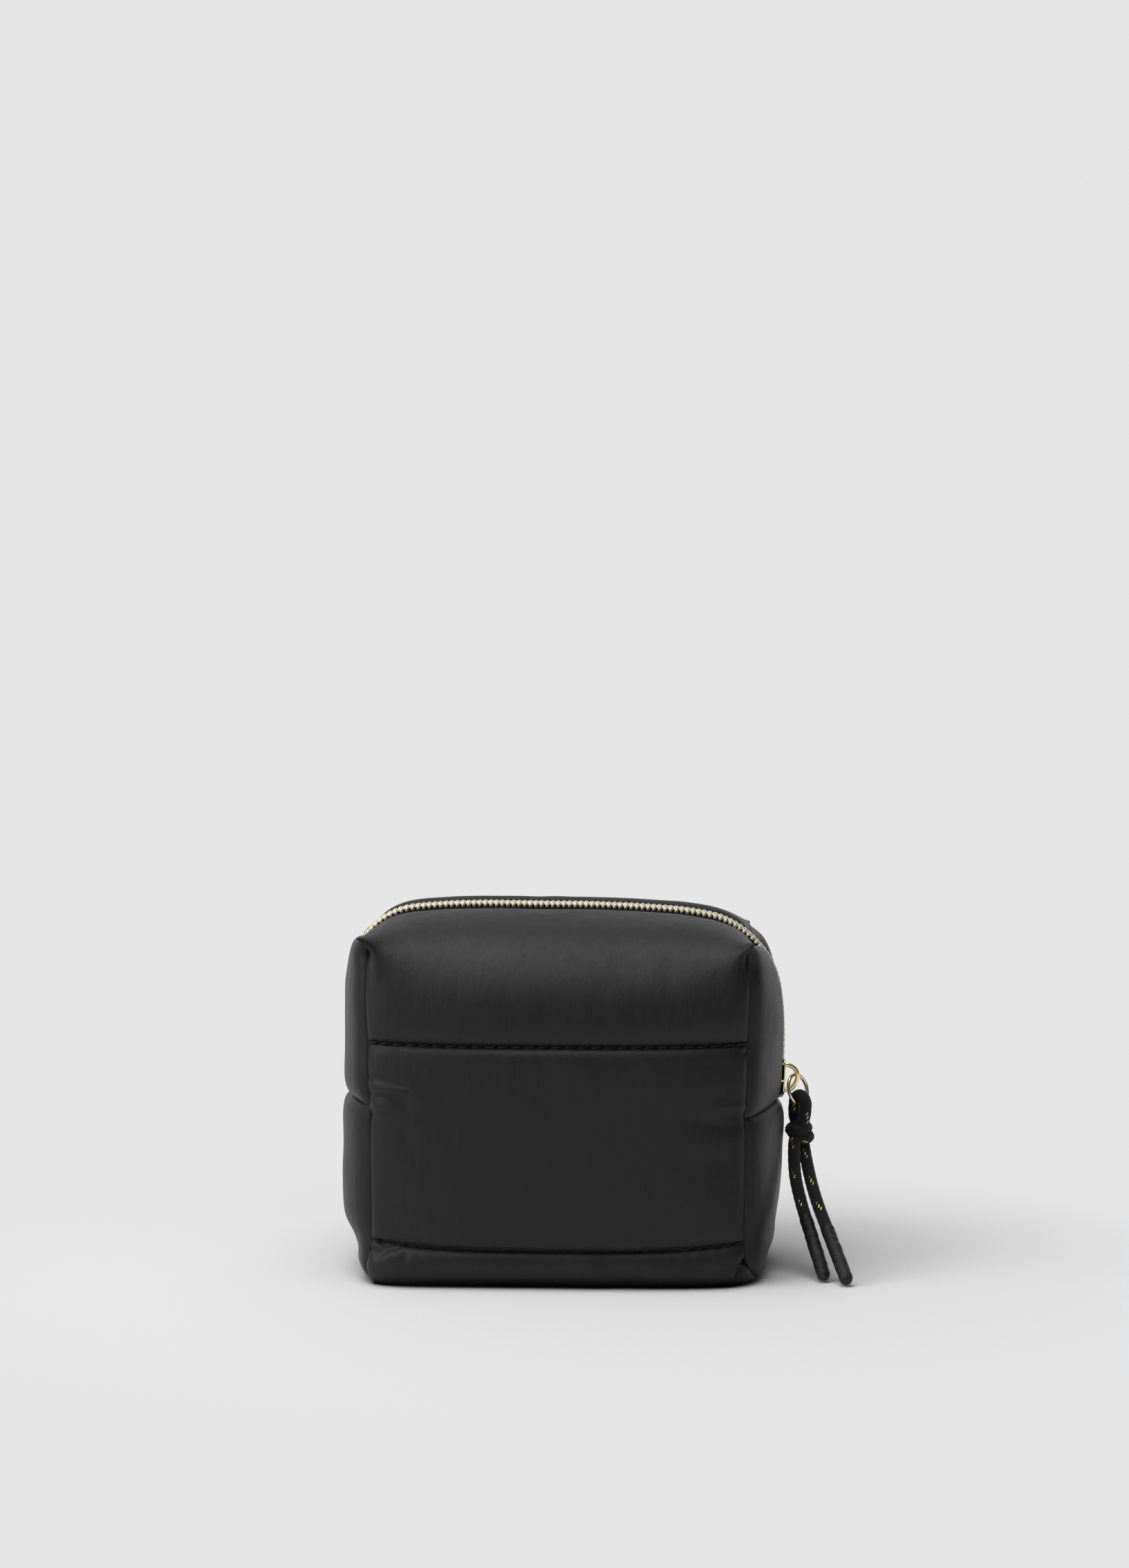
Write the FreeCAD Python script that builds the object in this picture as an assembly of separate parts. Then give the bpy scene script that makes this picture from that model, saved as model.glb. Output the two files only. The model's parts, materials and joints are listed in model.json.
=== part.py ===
"""Padded, box-shaped zip case with a zip over the top and down both ends, and a knotted cord pull.

Millimetres, +Z up, front towards -Y, origin on the floor under the middle of the base.
"""

import FreeCAD
import Part

import math
import os

from FreeCAD import Vector

# Driving dimensions
SEAM_HALF_WIDTH = 57.0      # front panel, from its middle to the upright seams
SEAM_HALF_DEPTH = 36.0      # from the zip's plane to the front and back seams
EAR_HEIGHT = 101.4          # boxed corners at the top of the front and back panels
FOLD_HEIGHT = 71.0          # upper quilting line, where the unzipped top folds outwards
LOW_QUILT_HEIGHT = 13.0     # lower quilting line
SIDE_SEAM_HEIGHTS = {"right": 50.0, "left": 53.0}   # top of the lower side panels, where the zip ends
ZIP_SIDE = 65.0             # zip tape at the two ends, from the middle
ZIP_TOP = 108.2             # zip tape at the top of its arch
ZIP_CORNER_RADIUS = 23.0
ZIP_ARCH_HALF_ANGLE = math.radians(6.2)
FABRIC_EDGE = 5.0           # fabric's folded edge, from the middle of the zip
CORD_DIAMETER = 3.7
SLIDER_LENGTH = 10.4

# Layers and play
COVER = 0.8                 # outer fabric with its backing
LAYER_GAP = 0.1             # between cover and wadding
PAD_DEPTH = 5.0             # cover and wadding together, where they are full
LINING = 0.6
SPLIT_GAP = 0.15            # half of the gap at a stitched fold line
FACE_STAND = (0.5, 5.0)     # how far a channel stands out from the seams: beside them, in the middle
QUILT_STAND = (0.0, 3.0)    # the same for the quilting lines
LOW_STAND = (1.7, 5.3)      # the same for the lower channel, which spreads over the floor
LOW_FOOT = (1.8, 4.0)       # the same for its lower edge
UPPER_STAND = (0.5, 4.4)    # the same for the upper channel, at its fullest
UPPER_FULL_RISE = 12.0      # height over the fold line where the upper channel is fullest
# Middle of the upper channel: how far its shoulder lies under the ears, how far in it is drawn, top's swell
UPPER_FORMS = {"front": (6.4, 1.2, 0.75), "back": (2.4, 0.2, 3.2)}
SIDE_CROWN = 2.2
SEAM_PINCH = 1.6            # a pad's thickness where a seam draws it in
PANEL_INNER = SEAM_HALF_DEPTH - 2.4      # flat inner face of the front and back pads
LINING_FACE = SEAM_HALF_DEPTH - 2.7      # outer face of the lining bag, front and back
SIDE_INNER_SEAM = 55.2      # inner face of the side pads, at the seams
SIDE_INNER_MIDDLE = 60.5
BASE_TOP = 4.8
LOW_EDGE_HEIGHT = 0.6       # lower edge of the front and back, over the floor

# Zip
TAPE_LOW, TAPE_HIGH = -0.45, 0.05        # offsets from the zip's line, outwards positive
TAPE_INNER_EDGE, TAPE_OUTER_EDGE = 1.7, 5.6
TOOTH_LOW, TOOTH_HIGH = 0.1, 1.0
TOOTH_PITCH = 1.6
TOOTH_WIDTH = 0.6
TOOTH_ROOT, TOOTH_TIP = 3.1, 0.8
FABRIC_OUTER, FABRIC_UNDER = 1.3, 0.6    # offsets of the fabric's edge beside the zip
STOP_HEIGHT = 1.0

# Slider, ring and cord
SLIDER_BOTTOM = SIDE_SEAM_HEIGHTS["right"] + 1.5
PLATE_LOW, PLATE_HIGH = 1.2, 2.2         # outer plate's faces, as offsets from the zip's line
INNER_PLATE_LOW, INNER_PLATE_HIGH = -1.8, -0.8
SHOULDER_HALF_WIDTH, THROAT_HALF_WIDTH = 3.8, 3.3
BRIDGE_HALF_WIDTH = 0.65
BRIDGE_REACH, BRIDGE_HALF_HEIGHT, BRIDGE_THICKNESS = 4.1, 3.75, 0.85
RING_RADIUS = 4.6
RING_WIRE_RADIUS = 0.55
RING_TWIST = math.radians(37)            # about the upright
RING_LEAN = math.radians(15)             # away from the case
RING_HELD = math.radians(21)             # how far round from its top the bridge holds it
RING_CONTACT = Vector(ZIP_SIDE + 4.05, 0, 57.0)
LOOP_RADIUS = CORD_DIAMETER / 2 + RING_WIRE_RADIUS + 0.2
KNOT_CENTRE = Vector(71.5, -0.6, 40.1)
KNOT_RADIUS = 4.2
KNOT_HALF_HEIGHT = 3.2
LEFT_TAIL = [(69.8, -2.9, 37.3), (69.3, -6.2, 30.4), (70.7, -11.9, 21.4), (73.9, -19.2, 12.0),
             (77.3, -26.7, 2.9)]
RIGHT_TAIL = [(72.5, 0.6, 37.3), (73.7, -4.0, 30.0), (75.8, -12.0, 20.9), (79.5, -22.0, 11.7),
              (83.5, -32.3, 2.9)]
END_SLEEVE_LENGTH = 20.0
END_SLEEVE_RADIUS = 2.3
END_SLEEVE_BORE = CORD_DIAMETER / 2 + 0.05
CORD_END_GAP = 1.5          # from the cord's end to the middle of the sleeve's round tip

ZIP_CORNER_X = ZIP_SIDE - ZIP_CORNER_RADIUS
ZIP_ARCH_HALF_WIDTH = ZIP_CORNER_X + ZIP_CORNER_RADIUS * math.sin(ZIP_ARCH_HALF_ANGLE)
ZIP_ARCH_RADIUS = ZIP_ARCH_HALF_WIDTH / math.sin(ZIP_ARCH_HALF_ANGLE)
ZIP_ARCH_RISE = ZIP_ARCH_RADIUS * (1 - math.cos(ZIP_ARCH_HALF_ANGLE))
ZIP_CORNER_Z = ZIP_TOP - ZIP_ARCH_RISE - ZIP_CORNER_RADIUS * math.cos(ZIP_ARCH_HALF_ANGLE)
ZIP_ARCH_Z = ZIP_TOP - ZIP_ARCH_RADIUS
CORNER_SWEEP = math.pi / 2 - ZIP_ARCH_HALF_ANGLE

os.makedirs("parts", exist_ok=True)


# Drawing helpers

def line(a, b):
    return Part.LineSegment(a, b).toShape()


def arc(a, middle, b):
    return Part.Arc(a, middle, b).toShape()


def ring_of(points, curves):
    """A closed wire: an arc wherever curves gives a middle point for that side, else a line."""
    edges = []
    for i, start in enumerate(points):
        end = points[(i + 1) % len(points)]
        edges.append(arc(start, curves[i], end) if curves.get(i) else line(start, end))
    return Part.Wire(edges)


def loft(wires, ruled=False):
    return Part.makeLoft(wires, True, ruled, False, 3)


def upright(x, point):
    """A (y, z) point in the plane across the case at x."""
    return Vector(x, point[0], point[1])


def lengthwise(y, point):
    """An (x, z) point in the plane along the case at y."""
    return Vector(point[0], y, point[1])


def mirrored(shape, across):
    axis = {"x": Vector(1, 0, 0), "y": Vector(0, 1, 0)}[across]
    return shape.mirror(Vector(0, 0, 0), axis)


def block(x, y, z):
    """A box between pairs of coordinates."""
    size = (x[1] - x[0], y[1] - y[0], z[1] - z[0])
    return Part.makeBox(*size, Vector(x[0], y[0], z[0]))


def save(name, *shapes):
    shape = shapes[0] if len(shapes) == 1 else Part.makeCompound(list(shapes))
    volume = sum(solid.Volume for solid in shape.Solids)
    print(f"{name}: {len(shape.Solids)} solid(s), {volume:.1f} mm3, valid {shape.isValid()}")
    shape.exportStep(f"parts/{name}.step")


def save_front_and_back(name, shape):
    save(f"front_{name}", shape)
    save(f"back_{name}", mirrored(shape, "y"))


# The zip's line: up one end, round a corner, over the arch, and down the other end

def zip_height(x, offset):
    """Height of the zip's line, moved outwards by offset, above the place x."""
    x = abs(x)
    corner_start = ZIP_CORNER_X + (ZIP_CORNER_RADIUS + offset) * math.sin(ZIP_ARCH_HALF_ANGLE)
    if x <= corner_start:
        return ZIP_ARCH_Z + math.sqrt((ZIP_ARCH_RADIUS + offset) ** 2 - x * x)
    return ZIP_CORNER_Z + math.sqrt((ZIP_CORNER_RADIUS + offset) ** 2 - (x - ZIP_CORNER_X) ** 2)


def zip_point(distance):
    """Place on the zip's line and its heading, from the fold line at +X: (x, z, angle from upright)."""
    straight = ZIP_CORNER_Z - FOLD_HEIGHT
    corner = ZIP_CORNER_RADIUS * CORNER_SWEEP
    half = straight + corner + ZIP_ARCH_RADIUS * ZIP_ARCH_HALF_ANGLE
    if distance > half:
        x, z, angle = zip_point(2 * half - distance)
        return -x, z, math.pi - angle
    if distance <= straight:
        return ZIP_SIDE, FOLD_HEIGHT + distance, 0.0
    if distance <= straight + corner:
        angle = (distance - straight) / ZIP_CORNER_RADIUS
        return (ZIP_CORNER_X + ZIP_CORNER_RADIUS * math.cos(angle),
                ZIP_CORNER_Z + ZIP_CORNER_RADIUS * math.sin(angle), angle)
    left = half - distance
    lean = left / ZIP_ARCH_RADIUS
    return ZIP_ARCH_RADIUS * math.sin(lean), ZIP_ARCH_Z + ZIP_ARCH_RADIUS * math.cos(lean), math.pi / 2 - lean


def zip_length():
    return 2 * (ZIP_CORNER_Z - FOLD_HEIGHT + ZIP_CORNER_RADIUS * CORNER_SWEEP
                + ZIP_ARCH_RADIUS * ZIP_ARCH_HALF_ANGLE)


def zip_line_edges(offset, y, foot):
    """The zip's line at one offset, from the foot height at +X to the same at -X."""
    def corner_point(angle, side):
        radius = ZIP_CORNER_RADIUS + offset
        return Vector(side * (ZIP_CORNER_X + radius * math.cos(angle)), y,
                      ZIP_CORNER_Z + radius * math.sin(angle))
    edges = []
    for side in (1, -1):
        start = Vector(side * (ZIP_SIDE + offset), y, foot)
        turn = corner_point(0, side)
        end = corner_point(CORNER_SWEEP, side)
        edges.append([line(start, turn), arc(turn, corner_point(CORNER_SWEEP / 2, side), end)])
    top = Vector(0, y, ZIP_ARCH_Z + ZIP_ARCH_RADIUS + offset)
    over = arc(corner_point(CORNER_SWEEP, 1), top, corner_point(CORNER_SWEEP, -1))
    return edges[0] + [over] + edges[1]


def zip_band(low, high, edge, width, foot):
    """A strip that follows the zip's line, between two offsets, from y = edge over width."""
    outer = zip_line_edges(high, edge, foot)
    inner = zip_line_edges(low, edge, foot)
    ends = [line(Vector(side * (ZIP_SIDE + low), edge, foot), Vector(side * (ZIP_SIDE + high), edge, foot))
            for side in (1, -1)]
    wire = Part.Wire(Part.__sortEdges__(outer + inner + ends))
    return Part.Face(wire).extrude(Vector(0, width, 0))


def tooth(x, z, angle, side):
    """One zip tooth, on the front tape for side -1 and on the back tape for side 1."""
    y = (-TOOTH_ROOT, TOOTH_TIP) if side < 0 else (-TOOTH_TIP, TOOTH_ROOT)
    shape = block((TOOTH_LOW, TOOTH_HIGH), y, (-TOOTH_WIDTH / 2, TOOTH_WIDTH / 2))
    shape.rotate(Vector(0, 0, 0), Vector(0, -1, 0), math.degrees(angle))
    shape.translate(Vector(x, 0, z))
    return shape


def arch_teeth(side):
    first = TOOTH_WIDTH + (TOOTH_PITCH / 2 if side > 0 else 0)
    count = int((zip_length() - first - TOOTH_WIDTH) / TOOTH_PITCH)
    return [tooth(*zip_point(first + i * TOOTH_PITCH), side) for i in range(count + 1)]


def end_teeth(side_x, lowest):
    """Both rows of teeth on one end, between a height and the fold line."""
    teeth = []
    for side in (-1, 1):
        top = FOLD_HEIGHT - TOOTH_WIDTH - (TOOTH_PITCH / 2 if side < 0 else 0)
        count = int((top - lowest) / TOOTH_PITCH)
        for i in range(count + 1):
            angle = 0.0 if side_x > 0 else math.pi
            teeth.append(tooth(side_x * ZIP_SIDE, top - i * TOOTH_PITCH, angle, side))
    return teeth


def make_zip():
    tape_width = TAPE_OUTER_EDGE - TAPE_INNER_EDGE
    front_tape = zip_band(TAPE_LOW, TAPE_HIGH, -TAPE_OUTER_EDGE, tape_width, FOLD_HEIGHT + SPLIT_GAP)
    save_front_and_back("zip_tape", front_tape)
    save("front_zip_teeth", *arch_teeth(-1))
    save("back_zip_teeth", *arch_teeth(1))
    lowest_teeth = {"right": SLIDER_BOTTOM + 5.5, "left": SIDE_SEAM_HEIGHTS["left"] + 2.5}
    for name, side_x in (("right", 1), ("left", -1)):
        foot = SIDE_SEAM_HEIGHTS[name] + 0.3
        x = sorted((side_x * (ZIP_SIDE + TAPE_LOW), side_x * (ZIP_SIDE + TAPE_HIGH)))
        z = (foot, FOLD_HEIGHT - SPLIT_GAP)
        tapes = [block(x, y, z) for y in ((-TAPE_OUTER_EDGE, -TAPE_INNER_EDGE),
                                          (TAPE_INNER_EDGE, TAPE_OUTER_EDGE))]
        save(f"{name}_zip_tape_end", *tapes)
        save(f"{name}_zip_teeth_end", *end_teeth(side_x, lowest_teeth[name]))
        stop_x = sorted((side_x * (ZIP_SIDE - 0.4), side_x * (ZIP_SIDE + TOOTH_HIGH)))
        stop_y = (-TAPE_INNER_EDGE + 0.1, TAPE_INNER_EDGE - 0.1)
        save(f"{name}_zip_stop", block(stop_x, stop_y, (foot, foot + STOP_HEIGHT)))


# Front and back: quilted channels, drawn in at the seams and quilting lines

def swell(x):
    """1 in the middle of the front, 0 at its upright seams."""
    return 1 - min(1.0, abs(x) / SEAM_HALF_WIDTH) ** 3


def across_stations(half_width):
    shares = (0.0, 0.4, 0.74, 0.92, 1.0)
    places = [half_width * share for share in shares]
    return [-place for place in reversed(places[1:])] + places


def stand_at(x, stand):
    """How far a channel stands out at x, from how far it does beside the seams and in the middle."""
    return stand[0] + (stand[1] - stand[0]) * swell(x)


def channel_section(x, bottom, top, stand, depth, foot):
    """(bottom, middle, top) of a channel's face at one depth under the fabric, in the plane at x."""
    edge = -SEAM_HALF_DEPTH + min(depth, SEAM_PINCH)
    out = -SEAM_HALF_DEPTH - stand_at(x, stand) + depth
    quilt = edge - stand_at(x, QUILT_STAND)
    return (edge - stand_at(x, foot), bottom), (out, (bottom + top) / 2), (quilt, top)


def channel_cover(bottom, top, stand, half_width, foot=QUILT_STAND):
    wires = []
    for x in across_stations(half_width):
        low, middle, high = channel_section(x, bottom, top, stand, 0, foot)
        low_in, middle_in, high_in = channel_section(x, bottom, top, stand, COVER, foot)
        points = [upright(x, p) for p in (low, high, high_in, low_in)]
        wires.append(ring_of(points, {0: upright(x, middle), 2: upright(x, middle_in)}))
    return loft(wires)


def channel_wadding(bottom, top, stand, half_width, foot=QUILT_STAND):
    wires = []
    for x in across_stations(half_width):
        low, middle, high = channel_section(x, bottom, top, stand, COVER + LAYER_GAP, foot)
        inner = -SEAM_HALF_DEPTH + SEAM_PINCH + (SEAM_HALF_DEPTH - SEAM_PINCH - PANEL_INNER) * swell(x)
        points = [upright(x, p) for p in (low, high, (inner, top), (inner, bottom))]
        wires.append(ring_of(points, {0: upright(x, middle)}))
    return loft(wires)


def upper_section(x, depth, form):
    """Five points of the upper channel at one depth: fold, face, shoulder, top and zip edge."""
    shoulder_drop, shoulder_draw, top_swell = form
    full = swell(x)
    depth_here = depth * (0.3 + 0.7 * full)
    fold = (-SEAM_HALF_DEPTH - stand_at(x, QUILT_STAND) + depth * (0.55 + 0.6 * full), FOLD_HEIGHT + SPLIT_GAP)
    face = (-SEAM_HALF_DEPTH - stand_at(x, UPPER_STAND) + depth_here, FOLD_HEIGHT + UPPER_FULL_RISE)
    shoulder_z = EAR_HEIGHT - shoulder_drop * full
    shoulder_y = -SEAM_HALF_DEPTH - 0.4 + shoulder_draw * full
    shoulder = (shoulder_y + 0.75 * depth_here, shoulder_z - 0.75 * depth_here)
    edge_z = zip_height(x, FABRIC_OUTER)
    top_y = -(SEAM_HALF_DEPTH + FABRIC_EDGE) / 2 - 1.5
    top = (top_y + 0.1 * depth_here, (shoulder_z + edge_z) / 2 + top_swell * full + 0.5 - depth_here)
    edge = (-FABRIC_EDGE, edge_z - depth * (FABRIC_OUTER - FABRIC_UNDER) / PAD_DEPTH)
    return fold, face, shoulder, top, edge


def upper_layer(depth_out, depth_in, form, half_width):
    """The upper channel between two depths: up the front, over the shoulder, to the zip."""
    wires = []
    for x in across_stations(half_width):
        fold, face, shoulder, top, edge = (upright(x, p) for p in upper_section(x, depth_out, form))
        fold_in, face_in, shoulder_in, top_in, edge_in = (
            upright(x, p) for p in upper_section(x, depth_in, form))
        points = [fold, shoulder, edge, edge_in, shoulder_in, fold_in]
        wires.append(ring_of(points, {0: face, 1: top, 3: top_in, 4: face_in}))
    return loft(wires)


def make_front_and_back():
    low, fold = LOW_QUILT_HEIGHT, FOLD_HEIGHT
    middle = (low + SPLIT_GAP, fold - SPLIT_GAP, FACE_STAND, SEAM_HALF_WIDTH)
    save_front_and_back("middle_cover", channel_cover(*middle))
    save_front_and_back("middle_wadding", channel_wadding(*middle))
    lower = (LOW_EDGE_HEIGHT, low - SPLIT_GAP, LOW_STAND, SEAM_HALF_WIDTH - 2.0, LOW_FOOT)
    save_front_and_back("lower_cover", channel_cover(*lower))
    save_front_and_back("lower_wadding", channel_wadding(*lower))
    half_width = SEAM_HALF_WIDTH - 0.1
    lining_depth = PAD_DEPTH + 0.3
    for face, form in UPPER_FORMS.items():
        layers = {"upper_cover": upper_layer(0, COVER, form, half_width),
                  "upper_wadding": upper_layer(COVER + LAYER_GAP, PAD_DEPTH, form, half_width),
                  "flap_lining": upper_layer(lining_depth, lining_depth + LINING, form, half_width - 1)}
        for layer, shape in layers.items():
            save(f"{face}_{layer}", shape if face == "front" else mirrored(shape, "y"))


# Ends: a padded panel below, and a strip on each side of the zip above

def strip_share(y):
    """0 at the front seam, 1 at the fabric's edge beside the zip."""
    return (y + SEAM_HALF_DEPTH) / (SEAM_HALF_DEPTH - FABRIC_EDGE)


def bulge(share):
    return 1 - (1 - min(1.0, max(0.0, share))) ** 2


def strip_outline(share):
    """(outer x of the upright part, corner radius, height where the corner starts)."""
    rise = bulge(share)
    outer = SEAM_HALF_WIDTH + 0.6 + (ZIP_SIDE + FABRIC_OUTER - SEAM_HALF_WIDTH - 0.6) * rise
    radius = 5.0 + (ZIP_CORNER_RADIUS + FABRIC_OUTER - 5.0) * rise
    ear_start = EAR_HEIGHT - 2.3
    start = ear_start + (ZIP_CORNER_Z - ear_start) * rise
    return outer, radius, start


def strip_outline_height(share, x):
    outer, radius, start = strip_outline(share)
    return start + math.sqrt(max(0.0, radius ** 2 - (x - outer + radius) ** 2))


def strip_outline_x(share, z):
    outer, radius, start = strip_outline(share)
    return outer if z <= start else outer - radius + math.sqrt(radius ** 2 - (z - start) ** 2)


def strip_thickness(share):
    full = (1 - share ** 4) * min(1.0, 0.25 + 2.4 * share)
    return FABRIC_OUTER - FABRIC_UNDER + 2.6 * full


def strip_stations():
    first, last = -SEAM_HALF_DEPTH + 2.2, -FABRIC_EDGE
    return [first + (last - first) * share for share in (0.0, 0.12, 0.3, 0.55, 0.8, 1.0)]


def upper_strip():
    """Right-hand front strip above the fold line, up to the boxed corner's seam."""
    seam_x = SEAM_HALF_WIDTH + 0.1
    wires = []
    for y in strip_stations():
        share = strip_share(y)
        thick = strip_thickness(share)
        foot_z = FOLD_HEIGHT + SPLIT_GAP
        seam_z = strip_outline_height(share, seam_x)
        middle_z = foot_z + 0.55 * (seam_z - foot_z)
        foot = (strip_outline(share)[0], foot_z)
        middle = (strip_outline_x(share, middle_z), middle_z)
        drop = 1.45 * thick
        inner_middle_z = foot_z + 0.55 * (seam_z - drop - foot_z)
        inner_middle = (strip_outline_x(share, inner_middle_z) - thick * 0.97, inner_middle_z)
        points = [lengthwise(y, p) for p in (foot, (seam_x, seam_z), (seam_x, seam_z - drop),
                                             (foot[0] - thick, foot_z))]
        wires.append(ring_of(points, {0: lengthwise(y, middle), 2: lengthwise(y, inner_middle)}))
    return loft(wires)


def lower_strip(seam_height):
    """Right-hand front strip below the fold line, down to the side panel."""
    bottom, top = seam_height + 0.3, FOLD_HEIGHT - SPLIT_GAP
    wires = []
    for y in strip_stations():
        share = strip_share(y)
        outer, thick = strip_outline(share)[0], strip_thickness(share)
        drawn_in = min(0.9, 0.6 * thick)
        points = [lengthwise(y, p) for p in ((outer - drawn_in, bottom), (outer, top), (outer - thick, top),
                                             (outer - thick, bottom))]
        wires.append(ring_of(points, {0: lengthwise(y, (outer + 0.1, (bottom + top) / 2))}))
    return loft(wires)


def side_share(y):
    return 1 - (y / SEAM_HALF_DEPTH) ** 2


def side_stations():
    half = SEAM_HALF_DEPTH - 1.9
    return [half * share for share in (-1.0, -0.85, -0.5, 0.0, 0.5, 0.85, 1.0)]


def side_face(y, depth, seam_height):
    """(bottom, middle, top) of the lower side panel at one depth, in the plane at y."""
    full = side_share(y)
    top = SEAM_HALF_WIDTH + 7.5 * full - depth
    bottom = SEAM_HALF_WIDTH - 1.2 + 5.2 * full - depth
    out = SEAM_HALF_WIDTH + 0.5 + (7.5 + SIDE_CROWN) * full - depth
    return (bottom, 2.0), (out, 0.52 * seam_height), (top, seam_height - 0.3)


def side_inner(y):
    return SIDE_INNER_SEAM + (SIDE_INNER_MIDDLE - SIDE_INNER_SEAM) * side_share(y)


def lower_side_cover(seam_height):
    wires = []
    for y in side_stations():
        low, middle, high = side_face(y, 0, seam_height)
        low_in, middle_in, high_in = side_face(y, COVER * 0.6, seam_height)
        points = [lengthwise(y, p) for p in (low, high, high_in, low_in)]
        wires.append(ring_of(points, {0: lengthwise(y, middle), 2: lengthwise(y, middle_in)}))
    return loft(wires)


def lower_side_wadding(seam_height):
    wires = []
    for y in side_stations():
        low, middle, high = side_face(y, COVER * 0.6 + LAYER_GAP, seam_height)
        inner = side_inner(y) - 0.4
        points = [lengthwise(y, p) for p in (low, high, (inner, high[1]), (inner, low[1]))]
        wires.append(ring_of(points, {0: lengthwise(y, middle)}))
    return loft(wires)


def make_ends():
    for end, seam_height in SIDE_SEAM_HEIGHTS.items():
        pads = {"side_cover": lower_side_cover(seam_height), "side_wadding": lower_side_wadding(seam_height)}
        strips = {"upper_strip": upper_strip(), "lower_strip": lower_strip(seam_height)}
        for name, shape in pads.items():
            save(f"{end}_{name}", shape if end == "right" else mirrored(shape, "x"))
        for name, shape in strips.items():
            placed = shape if end == "right" else mirrored(shape, "x")
            save(f"{end}_front_{name}", placed)
            save(f"{end}_back_{name}", mirrored(placed, "y"))


# Base and lining bag

def plan(z, corner_x, middle_x, half_depth):
    """Outline of the case seen from above: straight front and back, bowed ends."""
    corners = [Vector(x, y, z) for x, y in ((corner_x, -half_depth), (corner_x, half_depth),
                                            (-corner_x, half_depth), (-corner_x, -half_depth))]
    return ring_of(corners, {0: Vector(middle_x, 0, z), 2: Vector(-middle_x, 0, z)})


def make_base():
    half_depth = PANEL_INNER - 0.2
    corner_x = SIDE_INNER_SEAM - 0.9
    middle_x = SIDE_INNER_MIDDLE - 1.3
    skin_top = 1.6
    foot = plan(0, corner_x - 5, middle_x - 5, half_depth - 5)
    save("base_cover", loft([foot, plan(skin_top, corner_x, middle_x, half_depth)], ruled=True))
    wadding = Part.Face(plan(skin_top + LAYER_GAP, corner_x, middle_x, half_depth))
    save("base_wadding", wadding.extrude(Vector(0, 0, BASE_TOP - skin_top - LAYER_GAP)))
    floor = BASE_TOP + 0.2
    corner_x, middle_x = corner_x - 0.2, middle_x - 0.2
    height = FOLD_HEIGHT - SPLIT_GAP - floor
    outer = Part.Face(plan(floor, corner_x, middle_x, LINING_FACE)).extrude(Vector(0, 0, height))
    hollow = plan(floor + LINING, corner_x - LINING, middle_x - LINING, LINING_FACE - LINING)
    save("lining_bag", outer.cut(Part.Face(hollow).extrude(Vector(0, 0, height))))


# Slider, ring and cord pull

def plate(x_low, x_high):
    """One of the slider's plates: broad shoulders below, narrow throat above."""
    bottom, top = SLIDER_BOTTOM, SLIDER_BOTTOM + SLIDER_LENGTH
    wide, narrow = SHOULDER_HALF_WIDTH, THROAT_HALF_WIDTH
    half = [(narrow - 1.2, bottom), (wide, bottom + 1.2), (wide, bottom + 5.0), (narrow, top)]
    outline = half + [(-y, z) for y, z in reversed(half)]
    points = [Vector(ZIP_SIDE + x_low, y, z) for y, z in outline]
    face = Part.Face(Part.makePolygon(points + points[:1]))
    return face.extrude(Vector(x_high - x_low, 0, 0))


def make_slider():
    outer, inner = plate(PLATE_LOW, PLATE_HIGH), plate(INNER_PLATE_LOW, INNER_PLATE_HIGH)
    flange_z = (SLIDER_BOTTOM + 3.0, SLIDER_BOTTOM + 6.2)
    flange_x = (ZIP_SIDE + TAPE_HIGH + 0.25, ZIP_SIDE + PLATE_LOW + 0.1)
    flanges = [block(flange_x, y, flange_z) for y in ((-SHOULDER_HALF_WIDTH + 0.1, -TOOTH_ROOT - 0.15),
                                                      (TOOTH_ROOT + 0.15, SHOULDER_HALF_WIDTH - 0.1))]
    post_x = (ZIP_SIDE + INNER_PLATE_HIGH - 0.1, ZIP_SIDE + PLATE_LOW + 0.1)
    post = block(post_x, (-1.1, 1.1), (SLIDER_BOTTOM + 0.8, SLIDER_BOTTOM + 3.0))
    save("slider_body", outer.multiFuse([inner, post] + flanges).removeSplitter())

    face_x, centre_z = ZIP_SIDE + PLATE_HIGH, RING_CONTACT.z
    inner_height = BRIDGE_HALF_HEIGHT - BRIDGE_THICKNESS
    heights = (-BRIDGE_HALF_HEIGHT, BRIDGE_HALF_HEIGHT, inner_height, -inner_height)
    feet = [Vector(face_x, -BRIDGE_HALF_WIDTH, centre_z + z) for z in heights]
    middles = {0: Vector(face_x + BRIDGE_REACH, -BRIDGE_HALF_WIDTH, centre_z),
               2: Vector(face_x + BRIDGE_REACH - BRIDGE_THICKNESS, -BRIDGE_HALF_WIDTH, centre_z)}
    bridge = Part.Face(ring_of(feet, middles)).extrude(Vector(0, 2 * BRIDGE_HALF_WIDTH, 0))
    save("slider_bridge", bridge)


def ring_directions():
    """(along the wire at the ring's top, down across the ring) for the ring at rest."""
    along = Vector(math.sin(RING_TWIST), math.cos(RING_TWIST), 0)
    out = Vector(math.cos(RING_TWIST), -math.sin(RING_TWIST), 0)
    down = out * math.sin(RING_LEAN) + Vector(0, 0, -math.cos(RING_LEAN))
    return along, out, down


def ring_centre():
    along, _, down = ring_directions()
    return RING_CONTACT + (along * math.sin(RING_HELD) + down * math.cos(RING_HELD)) * RING_RADIUS


def make_ring():
    along, _, down = ring_directions()
    save("pull_ring", Part.makeTorus(RING_RADIUS, RING_WIRE_RADIUS, ring_centre(), along.cross(down)))


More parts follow.
